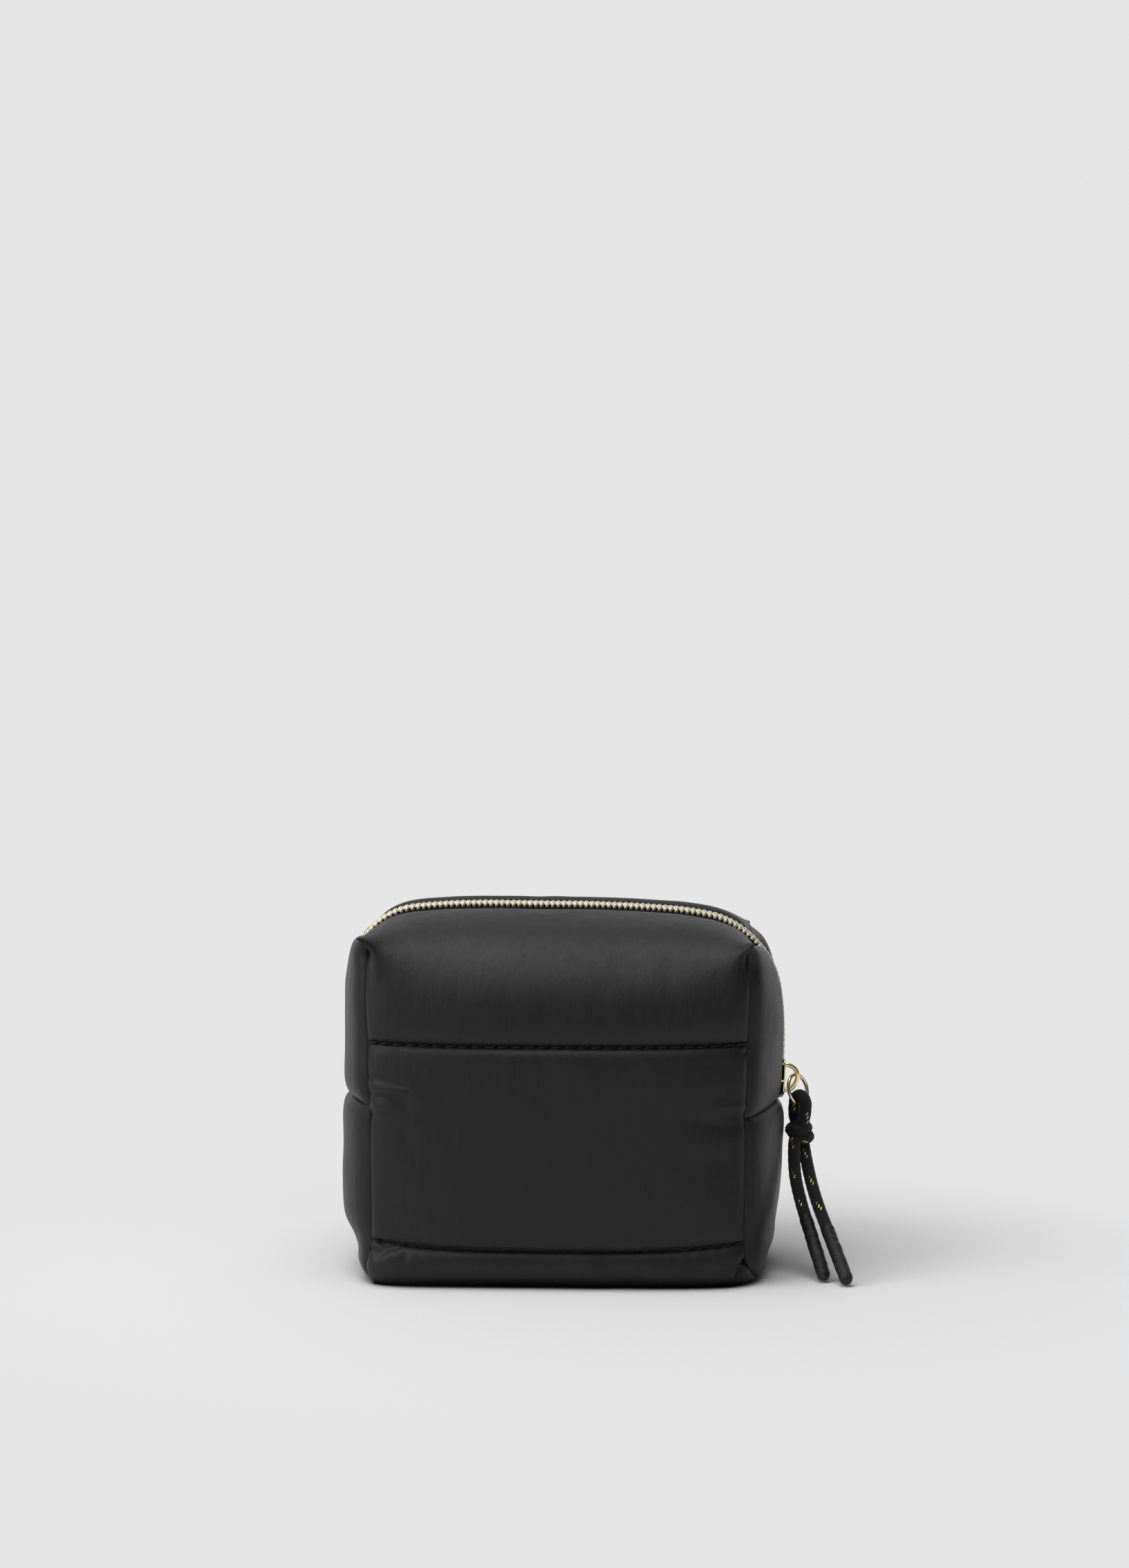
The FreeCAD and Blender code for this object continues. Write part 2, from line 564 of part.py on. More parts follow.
def tube(path, radius):
    """A round tube along a wire whose edges meet smoothly."""
    start = path.Edges[0].firstVertex().Point if len(path.Edges) == 1 else path.OrderedVertexes[0].Point
    heading = path.OrderedEdges[0].tangentAt(path.OrderedEdges[0].FirstParameter)
    profile = Part.Wire([Part.Circle(start, heading, radius).toShape()])
    return path.makePipeShell([profile], True, False)


def route_edges(points, name):
    """Straight runs joined by the largest tangent arcs that the runs allow."""
    points = [Vector(*p) for p in points]
    edges, radii, start = [], [], points[0]
    for before, corner, after in zip(points, points[1:], points[2:]):
        back, ahead = (before - corner), (after - corner)
        turn = math.pi - back.getAngle(ahead)
        reach = 0.45 * min(back.Length, ahead.Length)
        radii.append(reach / math.tan(turn / 2))
        back.normalize()
        ahead.normalize()
        first, last = corner + back * reach, corner + ahead * reach
        towards = back + ahead
        towards.normalize()
        middle = corner + towards * (radii[-1] / math.cos(turn / 2) - radii[-1])
        edges += [line(start, first), arc(first, middle, last)]
        start = last
    edges.append(line(start, points[-1]))
    print(f"{name}: bend radii {[round(r, 1) for r in radii]} mm")
    return edges


def trimmed(edges, start, end):
    """The stretch of a chain of edges between two distances along it."""
    kept, done = [], 0.0
    for edge in edges:
        low, high = max(start - done, 0.0), min(end - done, edge.Length)
        if high - low > 1e-6:
            first, last = (edge.getParameterByLength(d) for d in (low, high))
            kept.append(edge.Curve.toShape(first, last))
        done += edge.Length
    return Part.Wire(kept)


def make_tail(side, points):
    edges = route_edges(points, f"{side} tail")
    length = sum(edge.Length for edge in edges)
    cord = tube(trimmed(edges, 0, length - CORD_END_GAP), CORD_DIAMETER / 2)
    section = math.pi * CORD_DIAMETER ** 2 / 4
    print(f"{side} tail: {length:.1f} mm long, volume / (section x length) "
          f"{cord.Volume / (section * (length - CORD_END_GAP)):.4f}")
    save(f"cord_tail_{side}", cord)
    covered = trimmed(edges, length - END_SLEEVE_LENGTH, length)
    tip = Part.makeSphere(END_SLEEVE_RADIUS, edges[-1].lastVertex().Point)
    bore = tube(trimmed(edges, length - END_SLEEVE_LENGTH - 1, length - CORD_END_GAP + 0.1), END_SLEEVE_BORE)
    save(f"cord_end_{side}", tube(covered, END_SLEEVE_RADIUS).fuse(tip).cut(bore))


def make_cord_loop():
    """The folded middle of the cord: over the ring's wire and down into the knot as two legs."""
    _, out, down = ring_directions()
    wire_middle = ring_centre() + down * RING_RADIUS
    near, far = wire_middle - out * LOOP_RADIUS, wire_middle + out * LOOP_RADIUS
    apex = wire_middle + Vector(0, 0, LOOP_RADIUS)
    drop = Vector(0, 0, KNOT_CENTRE.z + KNOT_HALF_HEIGHT - 1.0 - wire_middle.z)
    path = Part.Wire([line(near + drop, near), arc(near, apex, far), line(far, far + drop)])
    save("cord_loop", tube(path, CORD_DIAMETER / 2))


def make_knot():
    """The overhand knot's outer shape: two wraps of cord, one above the other."""
    wrap = CORD_DIAMETER / 2
    inner = KNOT_RADIUS - wrap
    top, waist = KNOT_HALF_HEIGHT, KNOT_HALF_HEIGHT - 2 * wrap + 0.3
    points = [(0, -top), (inner, -top), (inner + 1.2, waist - 0.1), (inner, top), (0, top)]
    points = [Vector(r, 0, z) for r, z in points]
    middles = {1: Vector(KNOT_RADIUS - 0.3, 0, -top / 2), 2: Vector(KNOT_RADIUS, 0, top / 2)}
    knot = Part.Face(ring_of(points, middles)).revolve(Vector(0, 0, 0), Vector(0, 0, 1), 360)
    knot.translate(KNOT_CENTRE)
    save("cord_knot", knot)


def main():
    make_front_and_back()
    make_ends()
    make_base()
    make_zip()
    make_slider()
    make_ring()
    make_cord_loop()
    make_knot()
    make_tail("left", LEFT_TAIL)
    make_tail("right", RIGHT_TAIL)


main()
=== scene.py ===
"""Padded zip case: quilted panels filled by a small cloth solver, coil zip, slider, ring and cord pull.

Shapes are worked out in millimetres and turned into metres when a mesh is written. Seams and panels are
drawn for the right-hand side as (x, depth, height), with depth from the zip's plane towards the panel.
"""

import json
import math

import bpy
import numpy as np
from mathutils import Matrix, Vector


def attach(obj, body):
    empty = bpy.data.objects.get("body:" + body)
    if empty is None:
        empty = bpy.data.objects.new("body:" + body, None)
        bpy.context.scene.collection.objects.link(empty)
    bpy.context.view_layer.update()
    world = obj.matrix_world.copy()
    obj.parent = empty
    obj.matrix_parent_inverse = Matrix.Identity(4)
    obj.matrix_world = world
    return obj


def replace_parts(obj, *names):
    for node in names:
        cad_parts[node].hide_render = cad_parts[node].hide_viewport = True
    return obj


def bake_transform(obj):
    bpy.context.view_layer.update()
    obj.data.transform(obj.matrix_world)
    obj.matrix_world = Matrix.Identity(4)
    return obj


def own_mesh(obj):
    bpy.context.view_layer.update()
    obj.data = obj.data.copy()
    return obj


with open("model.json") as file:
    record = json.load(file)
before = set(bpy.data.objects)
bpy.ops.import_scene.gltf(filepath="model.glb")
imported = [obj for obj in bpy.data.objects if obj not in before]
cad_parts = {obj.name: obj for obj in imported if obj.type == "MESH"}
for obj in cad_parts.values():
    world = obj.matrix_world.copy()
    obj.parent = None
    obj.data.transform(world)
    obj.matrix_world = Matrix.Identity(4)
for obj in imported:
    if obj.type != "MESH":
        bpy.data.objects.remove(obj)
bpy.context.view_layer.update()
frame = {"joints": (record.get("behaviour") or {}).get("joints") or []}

MM = 0.001
JOINTS = {joint["name"]: joint for joint in frame["joints"]}
FRONT, BACK = -1, 1
RIGHT, LEFT = 1, -1
FACES = {FRONT: "front", BACK: "back"}
ENDS = {RIGHT: "right", LEFT: "left"}

# Case, in millimetres
SEAM_DEPTH = -JOINTS["front_flap_fold"]["pos_m"][1] / MM
FOLD_HEIGHT = JOINTS["front_flap_fold"]["pos_m"][2] / MM
LOW_QUILT_HEIGHT = 13.2
SIDE_SEAM_HEIGHTS = {RIGHT: (49.0, 50.4), LEFT: (52.3, 53.4)}    # at the panels' corner and beside the zip
SIDE_SEAM_X = {RIGHT: 64.2, LEFT: 63.0}      # beside the zip
BASE_END_X = {RIGHT: 59.2, LEFT: 56.0}
BEND_START, BEND_END = FOLD_HEIGHT, 97.0     # heights between which an opened half of the top bends
FLOOR_GAP = 0.12
GRID = 1.0                                   # mesh spacing of the fabric
PANEL_COLUMNS = 129
UPPER_EXTRA_ROWS = 6                         # more rows for the upper channel's tight turns

# Pads
WIDE_PAD, STRIP_PAD, SIDE_PAD, BASE_PAD = 5.4, 2.6, 3.6, 5.0    # how thick each is where it is full
PAD_RIM = 0.6                                # how thick a pad is at its seams
PAD_RISE = 8                                 # grid steps from a seam to where a pad is full
BASE_RISE = 6                                # and to where the base lies flat
CORE_SHARE, CORE_HEIGHT = (0.62, 0, 0), (0, 0, 50)    # a line inside the case that its pads thicken towards

# Quilting
STITCH_STEP = 3.9
STITCH_DENT = 0.3                            # how deep a stitch hole draws the fabric in
STITCH_SLANT = 0.22
STITCH_LIFT = 0.1
STITCH_SPAN = (0.05, 0.95)                   # between two holes
STITCH_FULLNESS = 0.7
STITCH_POINTS, STITCH_SIDES = 9, 6
QUILT_THREADS = {"lower": (0.32, 0.35), "upper": (0.37, 0.6)}    # radius, and how far a stitch stands out

# Zip
ZIP_SIDE, ZIP_TOP, ZIP_CORNER_RADIUS = 65.0, 108.2, 23.0
ZIP_ARCH_HALF_ANGLE = math.radians(6.2)
ZIP_ROLL = math.radians(16)                  # the zip's top rolls towards the front
ZIP_ROLL_REACH = 34.0                        # along the zip, from its straight ends to the full roll
LEFT_ZIP_INSET = 1.2                         # how much further in the zip lies on the left end
ZIP_DRIFTS = [(-42, 42, 1.45), (60, 26, -1.6), (92, 18, 0.65)]    # run, reach, how far the zip stands out
ZIP_PITCH = 1.69
FABRIC_EDGE = 4.9                            # fabric's folded edge, from the middle of the zip
FABRIC_OFFSET = -0.05
EDGE_STEP = 0.25
ZIP_CORNER_X = ZIP_SIDE - ZIP_CORNER_RADIUS
ZIP_ARCH_RADIUS = ZIP_CORNER_X / math.sin(ZIP_ARCH_HALF_ANGLE) + ZIP_CORNER_RADIUS
ZIP_ARCH_Z = ZIP_TOP - ZIP_ARCH_RADIUS
ZIP_CORNER_Z = ZIP_ARCH_Z + (ZIP_ARCH_RADIUS - ZIP_CORNER_RADIUS) * math.cos(ZIP_ARCH_HALF_ANGLE)
ARCH_RUN = ZIP_ARCH_RADIUS * ZIP_ARCH_HALF_ANGLE
CORNER_RUN = ZIP_CORNER_RADIUS * (math.pi / 2 - ZIP_ARCH_HALF_ANGLE)

# Coil, tapes and stops, as (distance from the zip's middle, offset outwards)
COIL = [(1.1, 0.0), (1.3, 0.32), (1.15, 0.66), (0.6, 0.84), (0.1, 0.84), (-0.4, 0.68), (-0.6, 0.3)]
COIL_SLANT = 0.38
COIL_WIRE = 0.56
COIL_POINTS, COIL_SIDES = 12, 8
COIL_FOOT, TAPE_FOOT, STOP_FOOT = 2.2, 0.6, 0.8    # lowest turn, tape's end and stop, above the side seam
COIL_IN_SLIDER = 2.0                         # how far the closed teeth run into the slider
TAPE_SECTION = [(5.6, -0.1), (4.4, -0.1), (3.0, -0.02), (0.6, -0.02), (0.3, -0.2), (0.6, -0.4), (3.0, -0.45),
                (4.4, -0.5), (5.6, -0.45)]
TAPE_STATIONS = 240
STAPLE = [(-1.7, 0.0), (-1.75, 0.6), (-1.3, 0.95), (1.3, 0.95), (1.75, 0.6), (1.7, 0.0)]
STAPLE_WIRE = 0.45
STAPLE_POINTS, STAPLE_SIDES = 24, 10

# Seams and the wide panels' middles, as (x, depth, height)
CREST_X = 57.0                               # where the corner's crest seam meets the zip
SEAM_CORNER = (55.0, 35.9, LOW_QUILT_HEIGHT)
SEAM_LOW = {
    LEFT: [(53.6, 36.6, 0.3), (55.4, 35.0, 2.4), (56.6, 35.0, 4.8), (55.7, 36.2, 8.9), SEAM_CORNER],
    RIGHT: [(58.0, 27.5, 0.5), (57.6, 30.0, 2.5), (56.5, 34.5, 5.0), (55.5, 36.1, 8.6), SEAM_CORNER]}
SEAM_FACE = [SEAM_CORNER, (55.0, 36.5, 22.0), (55.2, 36.3, 38.0)]
SEAM_FACE_END = (55.2, 35.7)                 # x and depth at the side seam's corner
SEAM_STRIP = [(55.8, 36.3, 60.0), (55.9, 35.4, FOLD_HEIGHT)]
SEAM_NECK = [SEAM_STRIP[-1], (56.4, 36.3, 80.0), (56.5, 36.2, 87.0)]
SEAM_TOPS = {(RIGHT, FRONT): (56.3, 35.4, 92.0), (LEFT, FRONT): (56.3, 35.4, 95.6),
             (RIGHT, BACK): (56.0, 35.4, 94.5), (LEFT, BACK): (56.0, 35.4, 96.0)}
CORNER_TIPS = {(RIGHT, FRONT): (57.4, 37.0, 100.2), (LEFT, FRONT): (58.6, 37.0, 101.4),
               (RIGHT, BACK): (56.9, 36.4, 100.7), (LEFT, BACK): (56.0, 36.6, 101.4)}
TIP_HOLLOW = (0.5, 0.3, 0)                   # how far the seam curves in just below a corner's tip
LIP_SHARE = 0.75                             # where it does, on the way from the seam's top to the tip
CREST_RISES = [(0.12, 0.3), (0.35, 0.4), (0.7, 0.2)]    # share of the crest, and how far it arches up there
SIDE_SEAM_MIDDLE = (60.6, 22.0)
SIDE_SEAM_ARCH = 0.3
BASE_END = [(-0.3, 19.0, 0.6), (0.0, 0.0, 0.6)]    # x from the base's end
MIDDLE_LOW = [(0, 35.4, 0.2), (0, 38.4, 0.8), (0, 40.5, 2.7), (0, 41.3, 5.6), (0, 41.2, 8.6), (0, 40.6, 10.1),
              (0, 39.6, LOW_QUILT_HEIGHT - 2.3)]
MIDDLE_FACE = [MIDDLE_LOW[-1], (0, 40.9, 11.6), (0, 41.3, 14.0), (0, 41.4, 24.0), (0, 41.3, 42.0),
               (0, 41.1, 60.0), (0, 40.7, 67.0), (0, 40.3, 69.0), (0, 39.3, FOLD_HEIGHT - 0.9)]
MIDDLE_UPPER = {
    FRONT: [MIDDLE_FACE[-1], (0, 40.1, 71.4), (0, 40.5, 75.0), (0, 39.4, 82.0), (0, 37.2, 87.6),
            (0, 33.8, 93.0), (0, 29.2, 97.8), (0, 23.6, 101.6), (0, 17.2, 104.2), (0, 11.5, 105.8)],
    BACK: [MIDDLE_FACE[-1], (0, 40.2, 73.6), (0, 40.8, 81.0), (0, 40.2, 89.4), (0, 36.6, 97.2),
           (0, 29.7, 103.2), (0, 20.8, 106.4), (0, 12.0, 108.5)]}

# How the panels turn towards their seams; a higher number turns later
SQUARENESS, UPPER_SQUARENESS = 3.2, 6.5
CORNER_SHARPNESS = {LEFT: 24, RIGHT: 10}     # of the lowest edge
WIDE_DRAW_SHARPNESS, SIDE_DRAW_SHARPNESS, CREST_DRAW_SHARPNESS = 30, 20, 29
STITCH_END_SHARPNESS = 60
SQUARE_ROWS = 16                             # rows above the fold to the upper squareness
ZIP_ROWS = 30                                # rows above the fold to where a panel turns towards the zip
SEAM_DRAW = np.array((0.7, 1.0, 0.0))        # how far an upright seam draws the fabric in
CREST_DRAW = np.array((0.4, 0.0, 0.6))       # the same for a corner's upper seam
POCKETS = {FRONT: np.array((0.9, 1.7, 0.0)),
           BACK: np.array((0.2, 0.6, 0.0))}  # how much further an upright seam draws in under a corner
POCKET_BELOW, POCKET_EXTRA = 1.0, 0.6        # how far below the seam's top it starts, and its extra length
POCKET_FULLNESS = 0.7
DRAW_FADE = 4.0                              # distance over which a draw fades at a seam's end
FOOT_CLEARANCE = 3.0                         # of the zip's edge above the side seam, in a strip
SEAM_TUCK = 0.4                              # how far a side piece's edge goes behind a wide panel
STRIP_CROWNS = {(RIGHT, FRONT): (0.7, 1.8, 0.1), (RIGHT, BACK): (1.0, 1.1, 0.9),
                (LEFT, FRONT): (1.2, 1.3, 1.1),
                (LEFT, BACK): (1.2, 1.3, 0.3)}    # below the fold, above it, and added at the corner
STRIP_SQUARENESS, LOW_SIDE_SQUARENESS, COLUMN_SQUARENESS = 24, 16, 4
STRIP_FOLD, STRIP_CORNER = (62, 14), (88, 8)    # height where a crown starts to change, and over how much
LOW_SIDE_CROWNS = {RIGHT: (2.2, 4.2, -1.5), LEFT: (2.6, 4.8, 6.0)}    # at its top, fullest, where it starts
LOW_SIDE_TAPER, LOW_SIDE_RISE = (20, 26), 13

# Spare fabric as shares of its length, puckers as (x, height, reach, share)
WIDE_SPARE_ACROSS, WIDE_SPARE_UP, STRIP_SPARE, LOW_SIDE_SPARE = 0.005, 0.004, 0.006, 0.008
SPARE_UNEVENNESS, SPARE_WAVE = 0.8, 9        # waves are in grid steps
SEAM_GATHER, GATHER_REACH = 0.045, 6         # added beside the wide panels' sewn lines
FRONT_PUCKERS_UP = [(-50, 50, 7, 0.07), (-40, 47, 7, 0.035), (50, 46, 7, 0.06), (40, 44, 8, 0.03),
                    (-47, 9, 6, 0.06), (50, 5, 6, 0.06), (15, 6, 9, 0.03)]
FRONT_PUCKERS_ACROSS = [(-47, 9, 6, 0.06), (48, 6, 6, 0.07)]
STRIP_PUCKER = (56, 54, 5, 0.04)
LOW_SIDE_PUCKER = (57, 6, 8, 0.04)

# Cloth solver
FILL_STEP = 0.006                            # how far the filling pushes in each round
STIFFNESS = 0.1
SLANT_GIVE, STRAIGHT_GIVE = 0.2, 0.5         # how hard the weave resists being pushed together
START_BUMPS, START_WAVE = 0.1, 5             # unevenness before filling
SEAM_BUMPS, SEAM_WAVE, SEAM_REACH = 0.15, 2.2, 7    # the same, beside sewn lines only

# Pressed folds: a line of (x, height), how far it stands out, and its half width
FRONT_FOLDS = [([(-54.5, 58.4), (-47.0, 57.5), (-43.0, 56.4), (-38.5, 55.0)], 1.1, 1.2),
               ([(-54.5, 60.4), (-47.0, 59.4), (-42.0, 58.2)], -0.6, 1.3),
               ([(-54.5, 56.0), (-47.0, 55.2), (-42.5, 53.9)], -1.0, 1.2),
               ([(-54.5, 52.6), (-50.0, 52.7), (-45.0, 52.0)], 0.8, 1.1),
               ([(-55.5, 50.4), (-52.6, 47.8)], -0.7, 0.8),
               ([(55.6, 50.2), (52.0, 50.9), (46.5, 51.2)], -1.1, 0.8),
               ([(55.0, 52.0), (51.0, 52.6), (46.0, 52.6)], 0.8, 1.1),
               ([(54.5, 48.6), (48.0, 47.6), (39.0, 48.2)], -0.8, 2.4),
               ([(56.6, 67.8), (52.8, 68.5)], -0.5, 0.8),
               ([(-54.8, 10.6), (-52.0, 9.4), (-49.6, 10.2)], -1.6, 0.8),
               ([(-51.6, 12.4), (-48.0, 11.0), (-45.8, 11.4)], -1.1, 0.8),
               ([(-52.0, 8.2), (-49.0, 8.8), (-46.8, 9.6)], 0.6, 0.9),
               ([(-45.0, 9.6), (-43.0, 8.2)], -0.5, 1.0),
               ([(55.6, 8.8), (53.8, 5.6), (52.2, 2.2)], -3.0, 0.75),
               ([(55.2, 6.8), (52.6, 6.9)], -0.4, 0.8),
               ([(12.0, 9.0), (18.0, 4.6), (24.0, 1.0)], -0.5, 3.0),
               ([(6.0, 8.0), (11.0, 4.4), (16.0, 1.4)], 0.3, 3.0)]

# Slider: sections as (x, y), stations as (height, share of the width, lean)
SLIDER_LOW, SLIDER_HIGH = 51.5, 61.9
SLIDER_STATIONS = [(SLIDER_LOW, 0.6, -0.3), (SLIDER_LOW + 0.5, 0.84, -0.26), (SLIDER_LOW + 1.4, 1.0, -0.2),
                   (SLIDER_LOW + 5.0, 1.0, 0.0), (SLIDER_LOW + 7.5, 0.92, 0.1),
                   (SLIDER_HIGH - 0.5, 0.87, 0.18), (SLIDER_HIGH, 0.76, 0.2)]
OUTER_PLATE = [(66.5, -3.8), (66.85, -3.8), (67.05, -3.0), (67.2, 0.0), (67.05, 3.0), (66.85, 3.8),
               (66.5, 3.8), (66.6, 3.0), (66.65, 0.0), (66.6, -3.0)]
INNER_PLATE = [(63.2, -3.6), (63.8, -3.6), (63.8, 3.6), (63.2, 3.6)]
CROSS_BAR = [(64.9, -3.3), (66.85, -3.3), (66.85, 3.3), (64.9, 3.3)]
UPPER_BAR = [(SLIDER_HIGH - 1.2, 0.9, 0.1), (SLIDER_HIGH - 0.6, 0.88, 0.1)]
MIDDLE_BAR = [(SLIDER_LOW + 4.1, 1.0, 0.0), (SLIDER_LOW + 4.7, 1.0, 0.0)]
DIVIDER = [(63.6, -0.9), (66.6, -0.9), (66.6, 0.9), (63.6, 0.9)]
DIVIDER_STATIONS = [(52.3, 0.7, 0.0), (53.2, 1.0, 0.0), (54.4, 0.3, 0.0)]
SLIDER_CHANNEL = [(63.7, -3.0), (66.6, -3.0), (66.6, 3.0), (63.7, 3.0)]
CHANNEL_STATIONS = [(SLIDER_LOW + 0.5, 0.8, -0.2), (SLIDER_LOW + 1.6, 1.0, -0.2),
                    (SLIDER_HIGH - 0.5, 0.87, 0.1)]
PLATE_ROUNDING = 0.12
BRIDGE_MIDDLE = 57.0
BRIDGE_PATH = [(66.9, 3.5), (68.3, 3.3), (69.8, 2.4), (70.65, 0.9), (70.6, -0.9), (69.8, -2.6), (68.5, -3.9),
               (66.7, -4.2)]                 # x, and height from the bridge's middle
BRIDGE_HALF_WIDTH, BRIDGE_HALF_THICKNESS = 1.1, 0.7
BRIDGE_SQUARENESS = 3                        # of its section
BRIDGE_RINGS, BRIDGE_SIDES = 40, 16

# Cord
CORD_RADIUS = 1.9
CORD_STEP = 0.4                              # mesh spacing along the cord
BRAID_SIDES, BRAID_YARNS, BRAID_PITCH = 32, 8, 2.6
YARN_DEPTH, YARN_RELIEF = 0.14, 0.13
TAIL_ROUTES = {
    "left": [(69.8, -2.9, 37.3), (69.4, -6.2, 30.4), (71.3, -11.9, 21.4), (74.5, -19.2, 12.0),
             (77.7, -27.6, 2.4)],
    "right": [(72.5, 0.6, 37.3), (73.7, -4.0, 30.0), (76.2, -12.0, 20.9), (80.2, -22.0, 11.7),
              (84.0, -33.4, 2.4)]}
TRACER_STARTS = {"cord_fold": 0.0, "overhand_knot": 3.0, "left_tail": 4.0,
                 "right_tail": -0.2}         # where in the tracers' pattern each stretch starts
LOOP_MIDDLE = (71.6, -0.1, 48.5)             # just off the ring's wire, where the cord hangs on it
LOOP_TURN = math.radians(54)
LOOP_RADIUS = 2.65
LOOP_POINTS = 7
LOOP_UP = [(70.6, 0.9, 40.0), (70.4, 1.3, 43.0), (69.9, 1.4, 45.6)]
LOOP_DOWN = [(72.9, -2.3, 45.6), (72.3, -2.3, 43.0), (71.8, -1.6, 40.0)]
KNOT_START = (71.0, -0.6, 42.2)
KNOT_MIDDLE = (71.15, -0.6, 41.35)           # of the first wrap
KNOT_RADIUS = 2.35
KNOT_SECOND = (1.0, -0.45, -2.6)             # the second wrap's move along x, change of radius and drop
KNOT_FIRST_ANGLE, KNOT_ANGLE = 3.3, 3.7 * math.pi
KNOT_POINTS = 23
KNOT_CHANGE = (0.42, 0.3)                    # where the second wrap starts and how long the change takes
KNOT_TILT, KNOT_TILT_TURN = 0.3, 0.6
KNOT_END = [(70.9, -1.4, 38.9), (70.1, -2.5, 38.2)]
SLEEVE_LENGTH, SLEEVE_RADIUS = 20.0, 2.0
SLEEVE_SIDES, SLEEVE_RINGS = 24, 64
SLEEVE_CREASE, CREASE_WAVE = 0.035, 5        # share of the radius, and mesh steps
DOME_ANGLE, DOME_RINGS = math.pi / 2 * 0.97, 9
SLEEVE_MOUTH = [0.86, 0.91, 0.945, 0.97, 0.99]    # shares of the radius, ring by ring

# Floor and light, in metres and watts
BACKDROP_TONE = 0.79
SURROUND_SPAN, SURROUND_TONES = (-0.2, 0.9), (0.22, 0.05)    # from left to right
PAINTED_SHADOW_REACH = 0.011                        # of the painted contact shadow, a dark line under the case
PAINTED_SHADOW_FADE = (0.25, 0.85)                  # open sky where the painted contact shadow is darkest and where it has gone
PAINTED_SHADOW_ENDS = (0.05, 0.062)                 # where the painted contact shadow fades out at both ends of the case
EVEN_FADE = (0.1, 0.22)                      # where the lit floor turns into the even tone
FLOOR_FRONT, FLOOR_BACK, FLOOR_HALF_WIDTH = -3.0, 1.4, 4.0
SWEEP_RADIUS, BACKDROP_HEIGHT = 1.0, 4.0
LAMP_TARGET = (0, 0, 0.06)
LAMPS = [("top_softbox", (-0.25, -0.3, 1.65), (1.3, 1.5), 19.0),
         ("left_softbox", (-1.6, -0.9, 1.0), (1.2, 1.2), 15.0)]    # name, place, size, power

# Camera of the photograph
FRAME_SIZE = (1633, 2268)
FOCAL_PIXELS = 4500.0
SENSOR_WIDTH = 36.0
CAMERA_PLACE = (43.0, -935.0, 181.0)
CAMERA_TURN, CAMERA_TILT = math.radians(2.6), math.radians(2.21)


# Node expressions

class Link:
    """An output socket for use in Python expressions: each operator adds a Math node."""

    def __init__(self, nodes, socket):
        self.nodes, self.socket = nodes, socket

    def math(self, operation, *values):
        return self.nodes.add("ShaderNodeMath", {"operation": operation}, dict(enumerate(values)))

    def __add__(self, other):
        return self.math("ADD", self, other)

    def __sub__(self, other):
        return self.math("SUBTRACT", self, other)

    def __rsub__(self, other):
        return self.math("SUBTRACT", other, self)

    def __mul__(self, other):
        return self.math("MULTIPLY", self, other)

    def __truediv__(self, other):
        return self.math("DIVIDE", self, other)

    def __lt__(self, other):
        return self.math("LESS_THAN", self, other)

    __radd__, __rmul__ = __add__, __mul__

    def fraction(self):
        return self.math("FRACT", self)

    def size(self):
        return self.math("ABSOLUTE", self)

    def sine(self):
        return self.math("SINE", self)


class Nodes:
    """A node tree under construction."""

    def __init__(self, tree):
        self.tree = tree

    def feed(self, node, values):
        """Set or link a node's inputs."""
        for key, value in values.items():
            if isinstance(value, Link):
                self.tree.links.new(value.socket, node.inputs[key])
            else:
                node.inputs[key].default_value = value

    def add(self, kind, settings=None, values=None, output=0):
        """A new node with its settings and inputs; returns one of its outputs."""
        node = self.tree.nodes.new(kind)
        for key, value in (settings or {}).items():
            setattr(node, key, value)
        self.feed(node, values or {})
        return Link(self, node.outputs[output])

    def ramp(self, value, start, end, low=0.0, high=1.0, shape="LINEAR"):
        """A value's way from start to end, as one from low to high."""
        ranges = {0: value, 1: start, 2: end, 3: low, 4: high}
        return self.add("ShaderNodeMapRange", {"interpolation_type": shape}, ranges)


class Finish(Nodes):
    """A material with one Principled shader and the values of its plain sockets."""

    def __init__(self, name, plain):
        self.material = bpy.data.materials.new(name)
        self.material.use_nodes = True
        super().__init__(self.material.node_tree)
        self.shader = self.tree.nodes["Principled BSDF"]
        self.feed(self.shader, plain)

    def place(self):
        return self.add("ShaderNodeTexCoord", output="Object")

    def noise(self, scale, detail=2.0, stretch=(1, 1, 1)):
        stretched = self.add("ShaderNodeMapping", values={"Vector": self.place(), "Scale": stretch})
        return self.add("ShaderNodeTexNoise", values={"Vector": stretched, "Scale": scale, "Detail": detail})

    def along(self, direction):
        """Place along a direction, in metres."""
        product = {"operation": "DOT_PRODUCT"}
        return self.add("ShaderNodeVectorMath", product, {0: self.place(), 1: direction}, "Value")

    def mix(self, share, a, b):
        return self.add("ShaderNodeMix", {"data_type": "RGBA"}, {0: share, 6: a, 7: b}, output=2)

    def surface(self, colour, roughness, height, depth, **more):
        """Feed the shader; height times depth, in metres, is the bump."""
        normal = self.add("ShaderNodeBump", values={"Height": height, "Distance": depth})
        self.feed(self.shader, {"Base Color": colour, "Roughness": roughness, "Normal": normal, **more})
        return self.material


def grey(value):
    return value, value, value, 1


# Finishes

